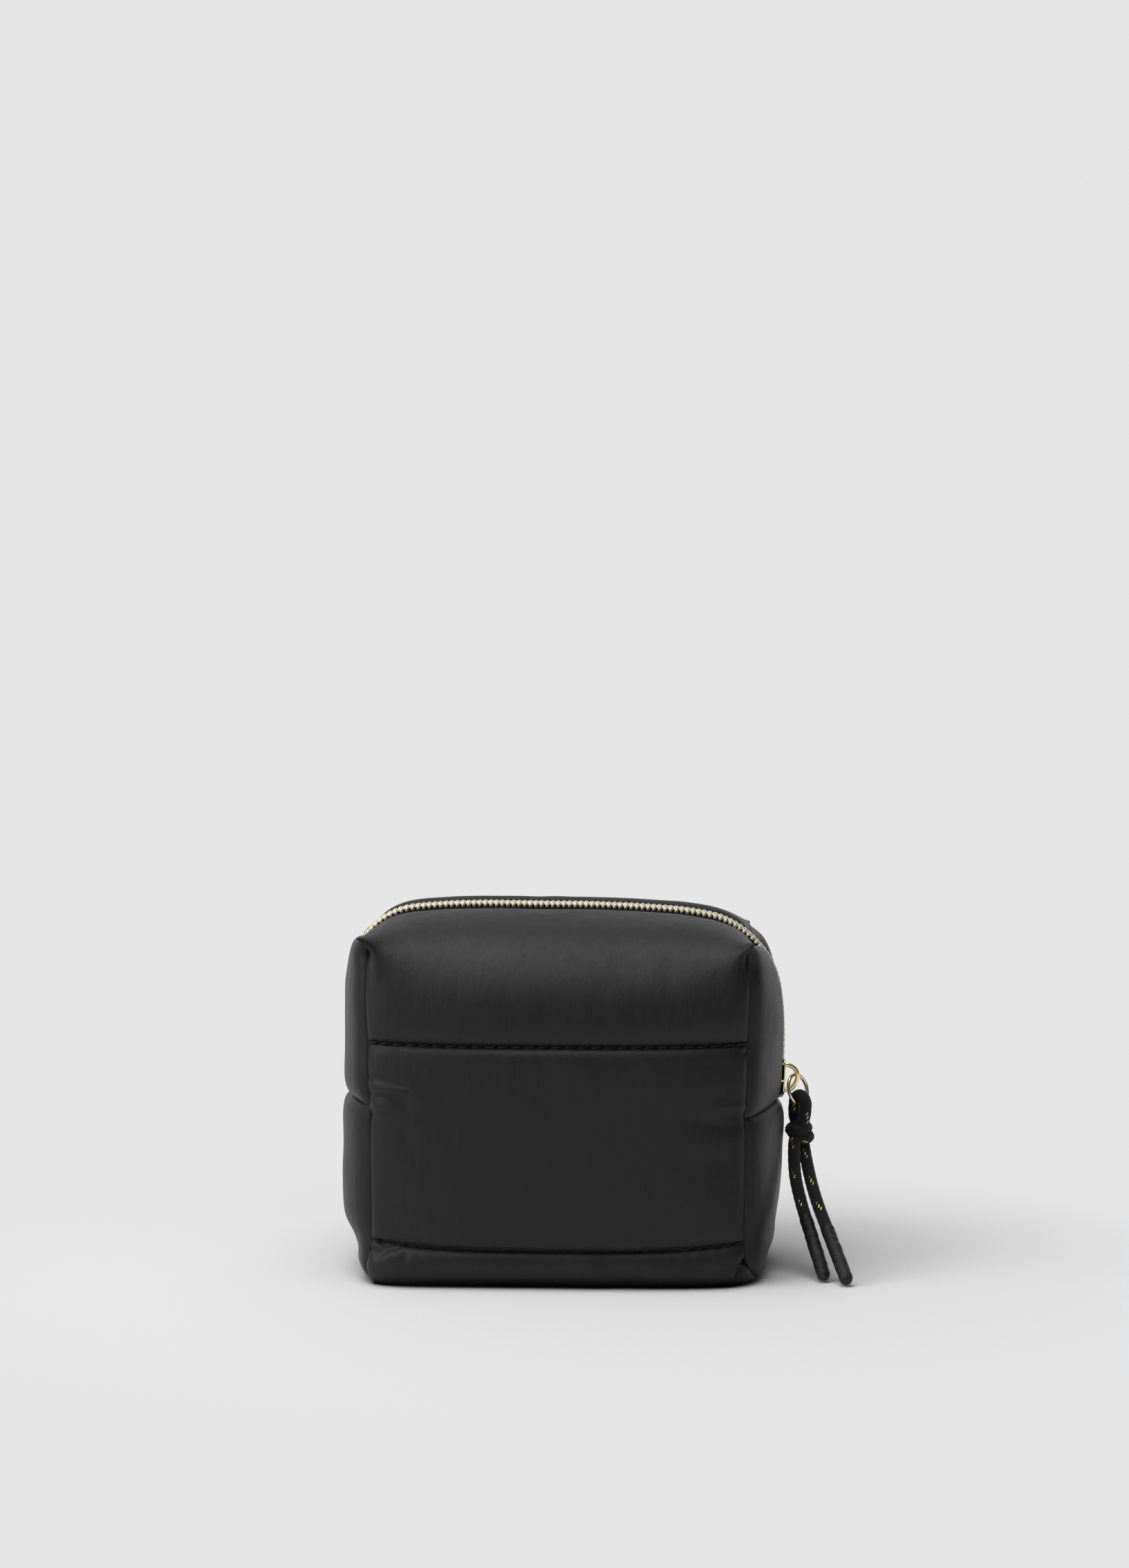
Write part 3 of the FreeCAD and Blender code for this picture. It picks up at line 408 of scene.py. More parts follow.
def shell_finish():
    """Coated fabric: a fine plain weave under a soft, slightly uneven satin film."""
    finish = Finish("shell_fabric", {"Sheen Weight": 0.05, "Sheen Roughness": 0.4,
                                     "Specular IOR Level": 0.32})
    cloudy = finish.noise(45.0)
    streaks = finish.noise(400.0, stretch=(1, 1, 0.2))
    grain = finish.noise(520.0)
    thread_step = 0.00033
    turns = 2 * math.pi / thread_step
    weave = (finish.along((1, 0, 0)) * turns).sine() * (finish.along((0, 0.5, 0.87)) * turns).sine()
    return finish.surface(finish.mix(cloudy, grey(0.0085), grey(0.0125)),
                          0.33 + 0.16 * cloudy + 0.06 * grain + 0.12 * streaks,
                          weave * 0.2 + grain * 1.5 + streaks * 5 + cloudy * 6, 0.00003)


def lining_finish():
    """Plain black lining with a fine rib."""
    finish = Finish("lining", {"Sheen Weight": 0.15, "Specular IOR Level": 0.3})
    rib = finish.noise(900.0, stretch=(1, 1, 0.35))
    return finish.surface(finish.mix(rib, grey(0.01), grey(0.022)), 0.6 + 0.15 * rib, rib, 0.00006)


def tape_finish():
    """Matt woven tape, ribbed across."""
    finish = Finish("zip_tape", {"Specular IOR Level": 0.12})
    rib = finish.noise(1400.0, 1.0, (1, 0.3, 1))
    return finish.surface(finish.mix(rib, grey(0.002), grey(0.007)), 0.7 + 0.2 * rib, rib, 0.00012)


def thread_finish():
    """Twisted black thread."""
    finish = Finish("quilting_thread", {"Specular IOR Level": 0.3})
    twist = finish.noise(1600.0, stretch=(1, 1, 2.2))
    return finish.surface(finish.mix(twist, grey(0.002), grey(0.008)), 0.4 + 0.3 * twist, twist, 0.0001)


def gold_finish(name, metallic, roughness, colour):
    """Pale gold plate, a little uneven, with a faint haze from handling."""
    finish = Finish(name, {"Metallic": metallic})
    haze = finish.noise(240.0, 4.0)
    fine = finish.noise(2600.0)
    darker = (*(0.86 * channel for channel in colour), 1)
    return finish.surface(finish.mix(haze, darker, (*colour, 1)), roughness + 0.16 * haze + 0.04 * fine,
                          fine + haze, 0.000012)


def cord_finish():
    """Black braid; gold tracer yarns come up between the black ones in groups of three short dashes."""
    finish = Finish("cord_braid", {"Sheen Weight": 0.15, "Specular IOR Level": 0.35})
    lay = finish.add("ShaderNodeUVMap", {"uv_map": "lay"})
    around = finish.add("ShaderNodeSeparateXYZ", values={0: lay}, output=0)
    along = finish.add("ShaderNodeSeparateXYZ", values={0: lay}, output=1)
    fibre = finish.noise(2400.0)
    columns, dashes = 3, 3
    group_step, dash_step = 9.4, 1.1
    half_width, half_length = 0.042, 0.42
    dash_shift, dash_slant = 0.1, 0.12
    column = (around * columns).fraction()
    up = (along / group_step + (around * columns - column) / columns).fraction() * group_step / dash_step
    dash = up.fraction()
    middle = 0.5 - dash_shift * (up - dash) + dash_slant * (dash - 0.5)
    tracer = ((column - middle).size() < half_width) * ((dash - 0.5).size() < half_length) * (up < dashes)
    black = finish.mix(fibre, grey(0.004), grey(0.013))
    return finish.surface(finish.mix(tracer, black, (0.85, 0.62, 0.17, 1)), 0.7 + fibre * 0.2 - tracer * 0.4,
                          fibre + tracer * 0.6, 0.00008, Metallic=tracer * 0.9)


def sleeve_finish():
    """Smooth black leather with fine creases and pale scuffs."""
    finish = Finish("cord_sleeve", {"Specular IOR Level": 0.4})
    crease = finish.noise(700.0, 4.0, (1, 1, 0.5))
    worn = finish.noise(1300.0, 3.0)
    scuffs = finish.ramp(worn, 0.58, 0.74, high=0.8)
    black = finish.mix(crease, grey(0.004), grey(0.011))
    return finish.surface(finish.mix(scuffs, black, grey(0.07)), 0.42 + 0.25 * crease,
                          crease + worn * 0.4, 0.00022)


SHELL = shell_finish()
INSIDE = lining_finish()
TAPE = tape_finish()
THREAD = thread_finish()
ZIP_GOLD = gold_finish("zip_gold", 0.45, 0.2, (0.84, 0.77, 0.6))
HARDWARE_GOLD = gold_finish("hardware_gold", 1.0, 0.08, (0.95, 0.82, 0.5))
CORD = cord_finish()
SLEEVE = sleeve_finish()


# Curves and meshes

def smooth(t):
    t = np.clip(t, 0, 1)
    return t * t * (3 - 2 * t)


def rising(value, start, reach):
    """0 up to start, 1 from reach beyond it, and smooth between."""
    return smooth((value - start) / reach)


def length_of(points):
    return np.linalg.norm(np.diff(np.asarray(points, float), axis=0), axis=1).sum()


def spaced(points, shares):
    """Points at given shares of a polyline's length; a whole number asks for that many, evenly spaced.

    Columns after the third are carried along.
    """
    points = np.asarray(points, float)
    shares = np.linspace(0, 1, shares) if isinstance(shares, int) else np.asarray(shares)
    run = np.concatenate([[0], np.cumsum(np.linalg.norm(np.diff(points[:, :3], axis=0), axis=1))])
    return np.stack([np.interp(shares * run[-1], run, column) for column in points.T], 1)


def through(points, count=400):
    """Evenly spaced points on a smooth curve through the given points."""
    points = np.asarray(points, float)
    padded = np.vstack([2 * points[0] - points[1], points, 2 * points[-1] - points[-2]])
    t = np.linspace(0, 1, 24, endpoint=False)[:, None]
    spans = []
    for a, b, c, d in zip(padded, padded[1:], padded[2:], padded[3:]):
        squared = 2 * a - 5 * b + 4 * c - d
        cubed = 3 * b - a - 3 * c + d
        spans.append(0.5 * (2 * b + (c - a) * t + squared * t ** 2 + cubed * t ** 3))
    return spaced(np.vstack(spans + [points[-1:]]), count)


def joined(*lines):
    """Lines end to end, as one."""
    return np.vstack([lines[0]] + [line[1:] for line in lines[1:]])


def steps_for(line):
    return 1 + round(length_of(line) / GRID)


def grid_normals(points):
    normals = np.cross(np.gradient(points, axis=1), np.gradient(points, axis=0))
    return normals / np.maximum(np.linalg.norm(normals, axis=2, keepdims=True), 1e-9)


def grid_faces(rows, columns, first=0):
    index = first + np.arange(rows * columns).reshape(rows, columns)
    return np.stack([index[:-1, :-1], index[:-1, 1:], index[1:, 1:], index[1:, :-1]], axis=2).reshape(-1, 4)


def make_piece(name, points, faces, *materials):
    """A smooth-shaded mesh object from points in millimetres."""
    mesh = bpy.data.meshes.new(name)
    mesh.from_pydata((np.asarray(points) * MM).tolist(), [], [[int(i) for i in face] for face in faces])
    mesh.polygons.foreach_set("use_smooth", [True] * len(mesh.polygons))
    for material in materials:
        mesh.materials.append(material)
    mesh.update()
    piece = bpy.data.objects.new(name, mesh)
    bpy.context.scene.collection.objects.link(piece)
    return piece


def bend_with(piece, half):
    """Bend a piece between the case and one half of the top."""
    # Bake a piece's transform into its mesh.
    y = half * SEAM_DEPTH * MM
    BEND_START * MM
    BEND_END * MM
    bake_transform(piece)


def dress(node, material):
    """Give a CAD node its finish."""
    part = bpy.data.objects[node]
    part.data.materials.clear()
    part.data.materials.append(material)


# Cloth solver: fabric cut a little large, sewn down along pinned lines, and filled

def uneven(name, shape, wavelength):
    """A smooth random field over a grid, the same on every run, with a spread of about one."""
    random = np.random.default_rng(sum(ord(letter) * (i + 1) for i, letter in enumerate(name)))
    rows, columns = (int(count / wavelength) + 3 for count in shape)
    field = random.standard_normal((rows, columns))
    for axis, count in enumerate(shape):
        coarse = np.moveaxis(field, axis, 0)
        place = np.linspace(0, len(coarse) - 1.001, count)
        low = place.astype(int)
        share = smooth(place - low)[:, None]
        field = np.moveaxis(coarse[low] * (1 - share) + coarse[low + 1] * share, 0, axis)
    return field


def pairs_of(rows, columns):
    """Neighbours on a grid, as slices, in groups whose pairs share no point."""
    every = slice(None)
    for r in (0, 1):
        low, high = slice(r, rows - 1, 2), slice(r + 1, rows, 2)
        yield "up", (low, every), (high, every)
        for c in (0, 1):
            near, far = slice(c, columns - 1, 2), slice(c + 1, columns, 2)
            yield "slant", (low, near), (high, far)
            yield "slant", (low, far), (high, near)
    for c in (0, 1):
        yield "across", (every, slice(c, columns - 1, 2)), (every, slice(c + 1, columns, 2))


def pull_together(p, q, free_p, free_q, cut, give):
    """Move pairs of points to their cut distance; give is how hard they resist being pushed together."""
    gap = q - p
    length = np.linalg.norm(gap, axis=2, keepdims=True)
    strain = (length - cut) / np.maximum(length, 1e-9)
    move = gap * np.where(strain > 0, strain, strain * give) / np.maximum(free_p + free_q, 1e-9)
    p += move * free_p
    q -= move * free_q


def off_flat(points):
    """How far each inner point lies from the middle of its neighbours."""
    out = np.zeros_like(points)
    around = points[:-2, 1:-1] + points[2:, 1:-1] + points[1:-1, :-2] + points[1:-1, 2:]
    out[1:-1, 1:-1] = around / 4 - points[1:-1, 1:-1]
    return out


def fill_out(name, form, pinned, across, up, rounds=220):
    """The settled shape of a filled panel; across and up are its spare cut along rows and columns."""
    shape = form.shape[:2]
    free = (~pinned)[..., None].astype(float)
    spare = {"across": across, "up": up, "slant": (across + up) / 2}
    groups = []
    for direction, first, second in pairs_of(*shape):
        cut = np.linalg.norm(form[second] - form[first], axis=2) * (1 + spare[direction][first])
        give = SLANT_GIVE if direction == "slant" else STRAIGHT_GIVE
        groups.append((first, second, cut[..., None], give))
    near = 1 - from_pins(pinned, SEAM_REACH)
    start = START_BUMPS * uneven(name + " start", shape, START_WAVE)
    start += SEAM_BUMPS * near * uneven(name + " near", shape, SEAM_WAVE)
    points = form + grid_normals(form) * start[..., None] * free
    for _ in range(rounds):
        points += grid_normals(points) * FILL_STEP * free
        for first, second, cut, give in groups:
            pull_together(points[first], points[second], free[first], free[second], cut, give)
        points -= STIFFNESS * off_flat(off_flat(points)) * free
    return points


def from_pins(pinned, reach):
    """0 on sewn lines, rising to 1 at reach grid steps away from them."""
    away = np.where(pinned, 0.0, float(reach))
    for _ in range(reach):
        for axis in (0, 1):
            for step in (1, -1):
                away = np.minimum(away, np.roll(away, step, axis) + 1)
    return smooth(away / reach)


def edge_pins(form):
    pinned = np.zeros(form.shape[:2], bool)
    pinned[[0, -1]] = pinned[:, [0, -1]] = True
    return pinned


def spare_cut(name, form, base, puckers=()):
    """Spare cut over a panel: an uneven base, and puckers as (x, height, reach, amount)."""
    spare = base * (1 + SPARE_UNEVENNESS * uneven(name, form.shape[:2], SPARE_WAVE))
    for x, height, reach, amount in puckers:
        away = (form[..., 0] - x) ** 2 + (form[..., 2] - height) ** 2
        spare = spare + amount * np.exp(-away / (2 * reach ** 2))
    return spare


def facing_out(form, towards):
    """The grid turned so that its normals point along a direction on the whole."""
    return form if (grid_normals(form) @ np.array(towards, float)).mean() > 0 else form[:, ::-1]


def padded_piece(name, outer, pinned, thickness):
    """A closed pad: settled fabric outside, and a lining inside it towards the core of the case."""
    rows, columns = outer.shape[:2]
    full = from_pins(pinned, PAD_RISE)[..., None]
    inwards = outer * CORE_SHARE + CORE_HEIGHT - outer
    inwards /= np.linalg.norm(inwards, axis=2, keepdims=True)
    inner = outer + inwards * (PAD_RIM + (thickness - PAD_RIM) * full)
    index = np.arange(rows * columns).reshape(rows, columns)
    border = np.concatenate([index[0, :-1], index[:-1, -1], index[-1, :0:-1], index[:0:-1, 0]])
    following = np.roll(border, -1)
    count = rows * columns
    outside = grid_faces(rows, columns)
    inside = grid_faces(rows, columns, count)[:, ::-1]
    rims = np.stack([border, border + count, following + count, following], axis=1)
    piece = make_piece(name, np.vstack([outer.reshape(-1, 3), inner.reshape(-1, 3)]),
                       np.vstack([outside, inside, rims]), SHELL, INSIDE)
    slots = [0] * len(outside) + [1] * len(inside) + [0] * len(rims)
    piece.data.polygons.foreach_set("material_index", slots)
    return piece


# The zip's line

def zip_point(run, y, offset):
    """Place beside the zip: run counts from the top towards +X, offset outwards from the zip's line."""
    drift = sum(out * float(smooth(1 - abs(run - middle) / reach)) for middle, reach, out in ZIP_DRIFTS)
    side, run = (RIGHT, run) if run >= 0 else (LEFT, -run)
    if run <= ARCH_RUN:
        angle = run / ZIP_ARCH_RADIUS
        x, z = ZIP_ARCH_RADIUS * math.sin(angle), ZIP_ARCH_Z + ZIP_ARCH_RADIUS * math.cos(angle)
    elif run <= ARCH_RUN + CORNER_RUN:
        angle = ZIP_ARCH_HALF_ANGLE + (run - ARCH_RUN) / ZIP_CORNER_RADIUS
        x = ZIP_CORNER_X + ZIP_CORNER_RADIUS * math.sin(angle)
        z = ZIP_CORNER_Z + ZIP_CORNER_RADIUS * math.cos(angle)
    else:
        angle = math.pi / 2
        x, z = ZIP_SIDE, ZIP_CORNER_Z - (run - ARCH_RUN - CORNER_RUN)
    if side == LEFT:
        x -= LEFT_ZIP_INSET * float(rising(run, ARCH_RUN, CORNER_RUN))
    x, z = x + drift * math.sin(angle), z + drift * math.cos(angle)
    roll = ZIP_ROLL * float(smooth((ARCH_RUN + CORNER_RUN - run) / ZIP_ROLL_REACH))
    out = offset * math.cos(roll) + y * math.sin(roll)
    across = y * math.cos(roll) - offset * math.sin(roll)
    return side * (x + out * math.sin(angle)), across, z + out * math.cos(angle)


def zip_run(height):
    """Distance along the zip from its top down to a height on its straight ends."""
    return ARCH_RUN + CORNER_RUN + ZIP_CORNER_Z - height


def zip_edge(side, half):
    """The fabric's edge beside the zip, from the top down one end, drawn as if on the right."""
    runs = np.arange(0, zip_run(SIDE_SEAM_HEIGHTS[side][1]), EDGE_STEP)
    edge = [zip_point(side * run, half * FABRIC_EDGE, FABRIC_OFFSET) for run in runs]
    return np.array(edge) * (side, half, 1)


def split_edge(side, half):
    """The fabric's edge beside the zip in two: over the top to the crest, and from there down the end."""
    edge = zip_edge(side, half)
    crest = np.argmax(edge[:, 0] > CREST_X)
    return edge[:crest + 1], edge[crest:]


# Seams and panel forms

def seam_face(side):
    """Upright seam from the lower quilting line to the side seam."""
    return SEAM_FACE + [(*SEAM_FACE_END, SIDE_SEAM_HEIGHTS[side][0])]


def seam_strip(side):
    """Upright seam from the side seam to the fold."""
    return [seam_face(side)[-1]] + SEAM_STRIP


def side_seam(side):
    """The lower side panel's top edge, from its corner to the zip."""
    corner, beside_zip = SIDE_SEAM_HEIGHTS[side]
    middle = (*SIDE_SEAM_MIDDLE, (corner + beside_zip) / 2 + SIDE_SEAM_ARCH)
    return [seam_face(side)[-1], middle, (SIDE_SEAM_X[side], FABRIC_EDGE, beside_zip)]


def base_end(side):
    """The base's outline at one end, from its corner to the middle."""
    return SEAM_LOW[side][:1] + [(BASE_END_X[side] + x, depth, z) for x, depth, z in BASE_END]


def with_back(points):
    """A line from a corner to the middle of an end, carried on to the other corner."""
    return points + [(x, -depth, z) for x, depth, z in points[-2::-1]]


def neck_line(side, half):
    """The upright seam above the fold, out to the corner's tip."""
    top, tip = np.array(SEAM_TOPS[side, half]), np.array(CORNER_TIPS[side, half])
    lip = (1 - LIP_SHARE) * top + LIP_SHARE * tip - TIP_HOLLOW
    return through([*SEAM_NECK, top, lip, tip])


def crest_line(side, half):
    """The corner's upper seam, from its tip back to the zip."""
    tip, end = np.array(CORNER_TIPS[side, half]), split_edge(side, half)[1][0]
    between = [tip + (end - tip) * share + (0, 0, rise) for share, rise in CREST_RISES]
    return through([tip, *between, end])


def drawn_neck(line, side, half):
    """An upright seam's points and how far each draws in: evenly, most under the corner, not at its tip."""
    top, tip = SEAM_TOPS[side, half][2], CORNER_TIPS[side, half][2]
    z = line[:, 2]
    even = smooth((tip - z) / DRAW_FADE) * smooth(z / DRAW_FADE)
    up = np.clip((z - top + POCKET_BELOW) / (tip - top + POCKET_EXTRA), 0, 1)
    pocket = np.sin(math.pi * up) ** POCKET_FULLNESS
    return np.hstack([line, even[:, None] * SEAM_DRAW + pocket[:, None] * POCKETS[half]])


def drawn_crest(line):
    """A corner's upper seam and how far each point draws in, from nothing at its ends."""
    from_tip, from_zip = (np.linalg.norm(line - end, axis=1) for end in (line[0], line[-1]))
    fade = smooth(from_tip / DRAW_FADE) * smooth(from_zip / DRAW_FADE)
    return np.hstack([line, fade[:, None] * CREST_DRAW])


def spread(count):
    """Places across a wide panel from -1 to 1, twice as close together at its ends as on the whole."""
    even = np.linspace(-1, 1, count)
    return even * (1.25 - 0.25 * even ** 2)


def close_ends(count):
    """Shares along a line, twice as close together at both ends as on the whole."""
    even = np.linspace(0, 1, count)
    return even - 0.5 * np.sin(2 * math.pi * even) / (2 * math.pi)


def wide_rim(side, half, shares):
    """A wide panel's edge at one end, from the base to the zip, and how far each point draws in."""
    uprights = [through(SEAM_LOW[side]), joined(through(seam_face(side)), through(seam_strip(side))),
                neck_line(side, half)]
    rims = [drawn_neck(line, side, half) for line in uprights]
    rims[2] = joined(rims[2], drawn_crest(crest_line(side, half)))
    return np.hsplit(joined(*map(spaced, rims, shares)), 2)


def wide_form(half):
    """Front or back panel before filling, its sewn points, and the rows of its quilting lines."""
    top = zip_edge(RIGHT, half)[0]
    middles = [through(band) for band in (MIDDLE_LOW, MIDDLE_FACE, MIDDLE_UPPER[half] + [top])]
    counts = [steps_for(band) for band in middles]
    counts[2] += UPPER_EXTRA_ROWS
    shares = [close_ends(count) for count in counts]
    middle = joined(*map(spaced, middles, shares))
    quilts = [counts[0] - 1, counts[0] + counts[1] - 2]
    u = spread(PANEL_COLUMNS)
    rows = np.arange(len(middle))[:, None]
    below, above = np.clip(1 - rows / quilts[0], 0, 1), rising(rows, quilts[1], SQUARE_ROWS)
    form = np.empty((len(middle), len(u), 3))
    last = np.empty((len(u), 2))
    for side in (RIGHT, LEFT):
        rim, draw = wide_rim(side, half, shares)
        on = u * side >= 0
        share = np.abs(u[on])[None]
        drawn_in = draw[:, None] * share[..., None] ** WIDE_DRAW_SHARPNESS
        boxed = share ** (SQUARENESS + (CORNER_SHARPNESS[side] - SQUARENESS) * below ** 2
                          + (UPPER_SQUARENESS - SQUARENESS) * above)
        form[:, on] = middle[:, None] + (rim - middle)[:, None] * boxed[..., None] - drawn_in
        form[:, on, 0] = side * (rim[:, None, 0] * share - drawn_in[..., 0])
        edge = split_edge(side, half)[0]
        beside_zip = [np.interp(np.abs(form[-1, on, 0]), edge[:, 0], edge[:, k]) for k in (1, 2)]
        last[on] = np.stack(beside_zip, 1)
    turn = quilts[1] + ZIP_ROWS
    towards_zip = rising(rows, turn, len(middle) - 1 - turn)
    form[..., 1:] += towards_zip[..., None] * (last - form[-1, :, 1:])[None]
    for row in quilts:
        stitches = round(length_of(form[row]) / STITCH_STEP)
        holes = 0.5 + 0.5 * np.cos(math.pi * stitches * (u + 1))
        form[row, :, 1] -= STITCH_DENT * holes * (1 - u ** STITCH_END_SHARPNESS)
    pinned = edge_pins(form)
    pinned[quilts] = True
    return form, pinned, quilts


def coons(bottom, top, start, end):
    """A patch between four edges; bottom and top run along columns, start and end along rows."""
    s = np.linspace(0, 1, len(start))[:, None, None]
    t = np.linspace(0, 1, len(bottom))[None, :, None]
    ruled = (1 - t) * start[:, None] + t * end[:, None] + (1 - s) * bottom[None] + s * top[None]
    return ruled - ((1 - s) * ((1 - t) * bottom[0] + t * bottom[-1]) + s * ((1 - t) * top[0] + t * top[-1]))


def crowned(form, heights, squareness):
    """A form that stands out by one height for each row, and falls to nothing at its edges.

    Squareness is how late it falls towards its first and last rows.
    """
    s = np.linspace(-1, 1, form.shape[0])[:, None, None]
    t = np.linspace(-1, 1, form.shape[1])[None, :, None]
    lift = grid_normals(form) * heights[:, None, None]
    return form + lift * (1 - s ** squareness) * (1 - t ** COLUMN_SQUARENESS)


def strip_form(side, half):
    """Strip beside the zip: rows from the side seam up to the crest, columns from the seam to the zip."""
    seam = joined(through(seam_strip(side)), neck_line(side, half))
    foot, crest = through(side_seam(side)), crest_line(side, half)
    zip_side = split_edge(side, half)[1][::-1]
    clear_of_foot = zip_side[:, 2] > foot[-1, 2] + FOOT_CLEARANCE
    zip_side = np.vstack([foot[-1:], zip_side[clear_of_foot]])
    rows, columns = steps_for(zip_side), steps_for(foot)
    seam, seam_draw = np.hsplit(spaced(drawn_neck(seam, side, half), rows), 2)
    crest, crest_draw = np.hsplit(spaced(drawn_crest(crest), columns), 2)
    form = coons(spaced(foot, columns), crest, seam, spaced(zip_side, rows))
    near_seam = np.linspace(1, 0, columns)[None, :, None] ** SIDE_DRAW_SHARPNESS
    near_crest = np.linspace(0, 1, rows)[:, None, None] ** CREST_DRAW_SHARPNESS
    form -= seam_draw[:, None] * near_seam + crest_draw[None] * near_crest
    form[:, 0, 0] -= SEAM_TUCK
    return form


def low_side_form(side):
    """Lower side panel: rows from base to side seam, columns from front to back."""
    seam = joined(through(SEAM_LOW[side]), through(seam_face(side)))
    foot = through(with_back(base_end(side)))
    half_top = through(side_seam(side))
    top = np.vstack([half_top, half_top[::-1] * (1, -1, 1)])
    rows, columns = steps_for(seam), steps_for(top)
    start, draw = np.hsplit(spaced(drawn_neck(seam, side, FRONT), rows), 2)
    form = coons(spaced(foot, columns), spaced(top, columns), start, start * (1, -1, 1))
    across = np.linspace(-1, 1, columns)[None, :, None]
    inwards = np.concatenate([np.ones_like(across), -np.sign(across), np.zeros_like(across)], axis=2)
    form -= draw[:, None] * inwards * np.abs(across) ** SIDE_DRAW_SHARPNESS
    form[:, [0, -1], 0] -= SEAM_TUCK
    return form


def base_form():
    """Base: rows from front to back, columns from left to right."""
    ends = {side: through(with_back(base_end(side))) for side in (RIGHT, LEFT)}
    rows = steps_for(ends[LEFT])
    u = spread(PANEL_COLUMNS)
    middle = np.array(MIDDLE_LOW[0])
    front = np.empty((len(u), 3))
    for side in (RIGHT, LEFT):
        on = u * side >= 0
        corner = np.array(SEAM_LOW[side][0])
        front[on] = middle + (corner - middle) * (np.abs(u[on]) ** CORNER_SHARPNESS[side])[:, None]
        front[on, 0] = corner[0] * u[on]
    left, right = (spaced(ends[side], rows) * (side, 1, 1) for side in (LEFT, RIGHT))
    form = coons(front, front * (1, -1, 1), left, right)
    flat = from_pins(edge_pins(form), BASE_RISE)
    form[..., 2] = form[..., 2] * (1 - flat) + FLOOR_GAP * flat
    return form


# Panels

def pressed(outer, folds):
    """Fabric with folds pressed in, each strongest in the middle of its line."""
    normals = grid_normals(outer)
    lift = np.zeros(outer.shape[:2])
    for line, height, width in folds:
        line = through(line, 50)
        away = np.linalg.norm(outer[..., None, [0, 2]] - line, axis=3)
        along = away.argmin(axis=2) / (len(line) - 1)
        lift += height * np.exp(-(away.min(axis=2) / width) ** 2) * np.sin(math.pi * (0.1 + 0.8 * along))
    return outer + normals * lift[..., None]


def on_side(pucker, side):
    """A pucker that is drawn for the right-hand side, on either one."""
    x, *rest = pucker
    return side * x, *rest


def make_wide_panels():
    """Front and back panels, the back's folds mirrored; returns the settled fabric and its quilting rows."""
    settled = {}
    for half, face in FACES.items():
        form, pinned, quilts = wide_form(half)
        form = facing_out(form * (1, half, 1), (0, half, 0.3))
        puckers_across = [on_side(pucker, -half) for pucker in FRONT_PUCKERS_ACROSS]
        puckers_up = [on_side(pucker, -half) for pucker in FRONT_PUCKERS_UP]
        folds = [([(-half * x, z) for x, z in line], *rest) for line, *rest in FRONT_FOLDS]
        gather = SEAM_GATHER * (1 - from_pins(pinned, GATHER_REACH))
        across = spare_cut(face + " across", form, WIDE_SPARE_ACROSS, puckers_across) + gather
        up = spare_cut(face + " up", form, WIDE_SPARE_UP, puckers_up)
        outer = pressed(fill_out(face, form, pinned, across, up), folds)
        outer[..., 2] = np.maximum(outer[..., 2], FLOOR_GAP)
        piece = padded_piece(f"{face}_panel", outer, pinned, WIDE_PAD)
        bend_with(piece, half)
        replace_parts(piece, *(f"{face}_{band}_{layer}" for band in ("lower", "middle", "upper")
                             for layer in ("cover", "wadding")), f"{face}_flap_lining")
        settled[half] = outer, quilts
    return settled


def strip_crown(side, half, z):
    """How far a strip stands out at each height."""
    low, high, corner = STRIP_CROWNS[side, half]
    return low + (high - low) * rising(z, *STRIP_FOLD) + corner * rising(z, *STRIP_CORNER)


def low_side_crown(side, z):
    """How far a lower side panel stands out at each height."""
    top, fullest, start = LOW_SIDE_CROWNS[side]
    return (fullest + (top - fullest) * rising(z, *LOW_SIDE_TAPER)) * rising(z, start, LOW_SIDE_RISE)


def make_strips():
    """Strips beside the zip."""
    for side, end in ENDS.items():
        puckers = [on_side(STRIP_PUCKER, side)]
        for half, face in FACES.items():
            name = f"{end}_{face}_strip"
            form = facing_out(strip_form(side, half) * (side, half, 1), (side, half, 0.2))
            pinned = edge_pins(form)
            full = crowned(form, strip_crown(side, half, form[:, 0, 2]), STRIP_SQUARENESS)
            across = spare_cut(name, form, STRIP_SPARE, puckers)
            up = spare_cut(name + " up", form, STRIP_SPARE, puckers)
            outer = fill_out(name, full, pinned, across, up, rounds=160)
            piece = padded_piece(name, outer, pinned, STRIP_PAD)
            bend_with(piece, half)
            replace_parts(piece, f"{end}_{face}_upper_strip", f"{end}_{face}_lower_strip")


def make_low_sides():
    """Lower side panels, from the base up to the side seam."""
    for side, end in ENDS.items():
        form = facing_out(low_side_form(side) * (side, 1, 1), (side, 0, 0))
        pinned = edge_pins(form)
        full = crowned(form, low_side_crown(side, form[:, 0, 2]), LOW_SIDE_SQUARENESS)
        across = spare_cut(end, form, LOW_SIDE_SPARE)
        up = spare_cut(end + " up", form, LOW_SIDE_SPARE, [on_side(LOW_SIDE_PUCKER, side)])
        outer = fill_out(f"{end} side", full, pinned, across, up, rounds=180)
        outer[..., 2] = np.maximum(outer[..., 2], FLOOR_GAP)
        piece = padded_piece(f"{end}_side_panel", outer, pinned, SIDE_PAD)
        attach(piece, "case")
        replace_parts(piece, f"{end}_side_cover", f"{end}_side_wadding")


def make_base():
    """Flat padded base."""
    form = facing_out(base_form(), (0, 0, -1))
    piece = padded_piece("base_panel", form, edge_pins(form), BASE_PAD)
    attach(piece, "case")
    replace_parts(piece, "base_cover", "base_wadding", "lining_bag")


# Tubes

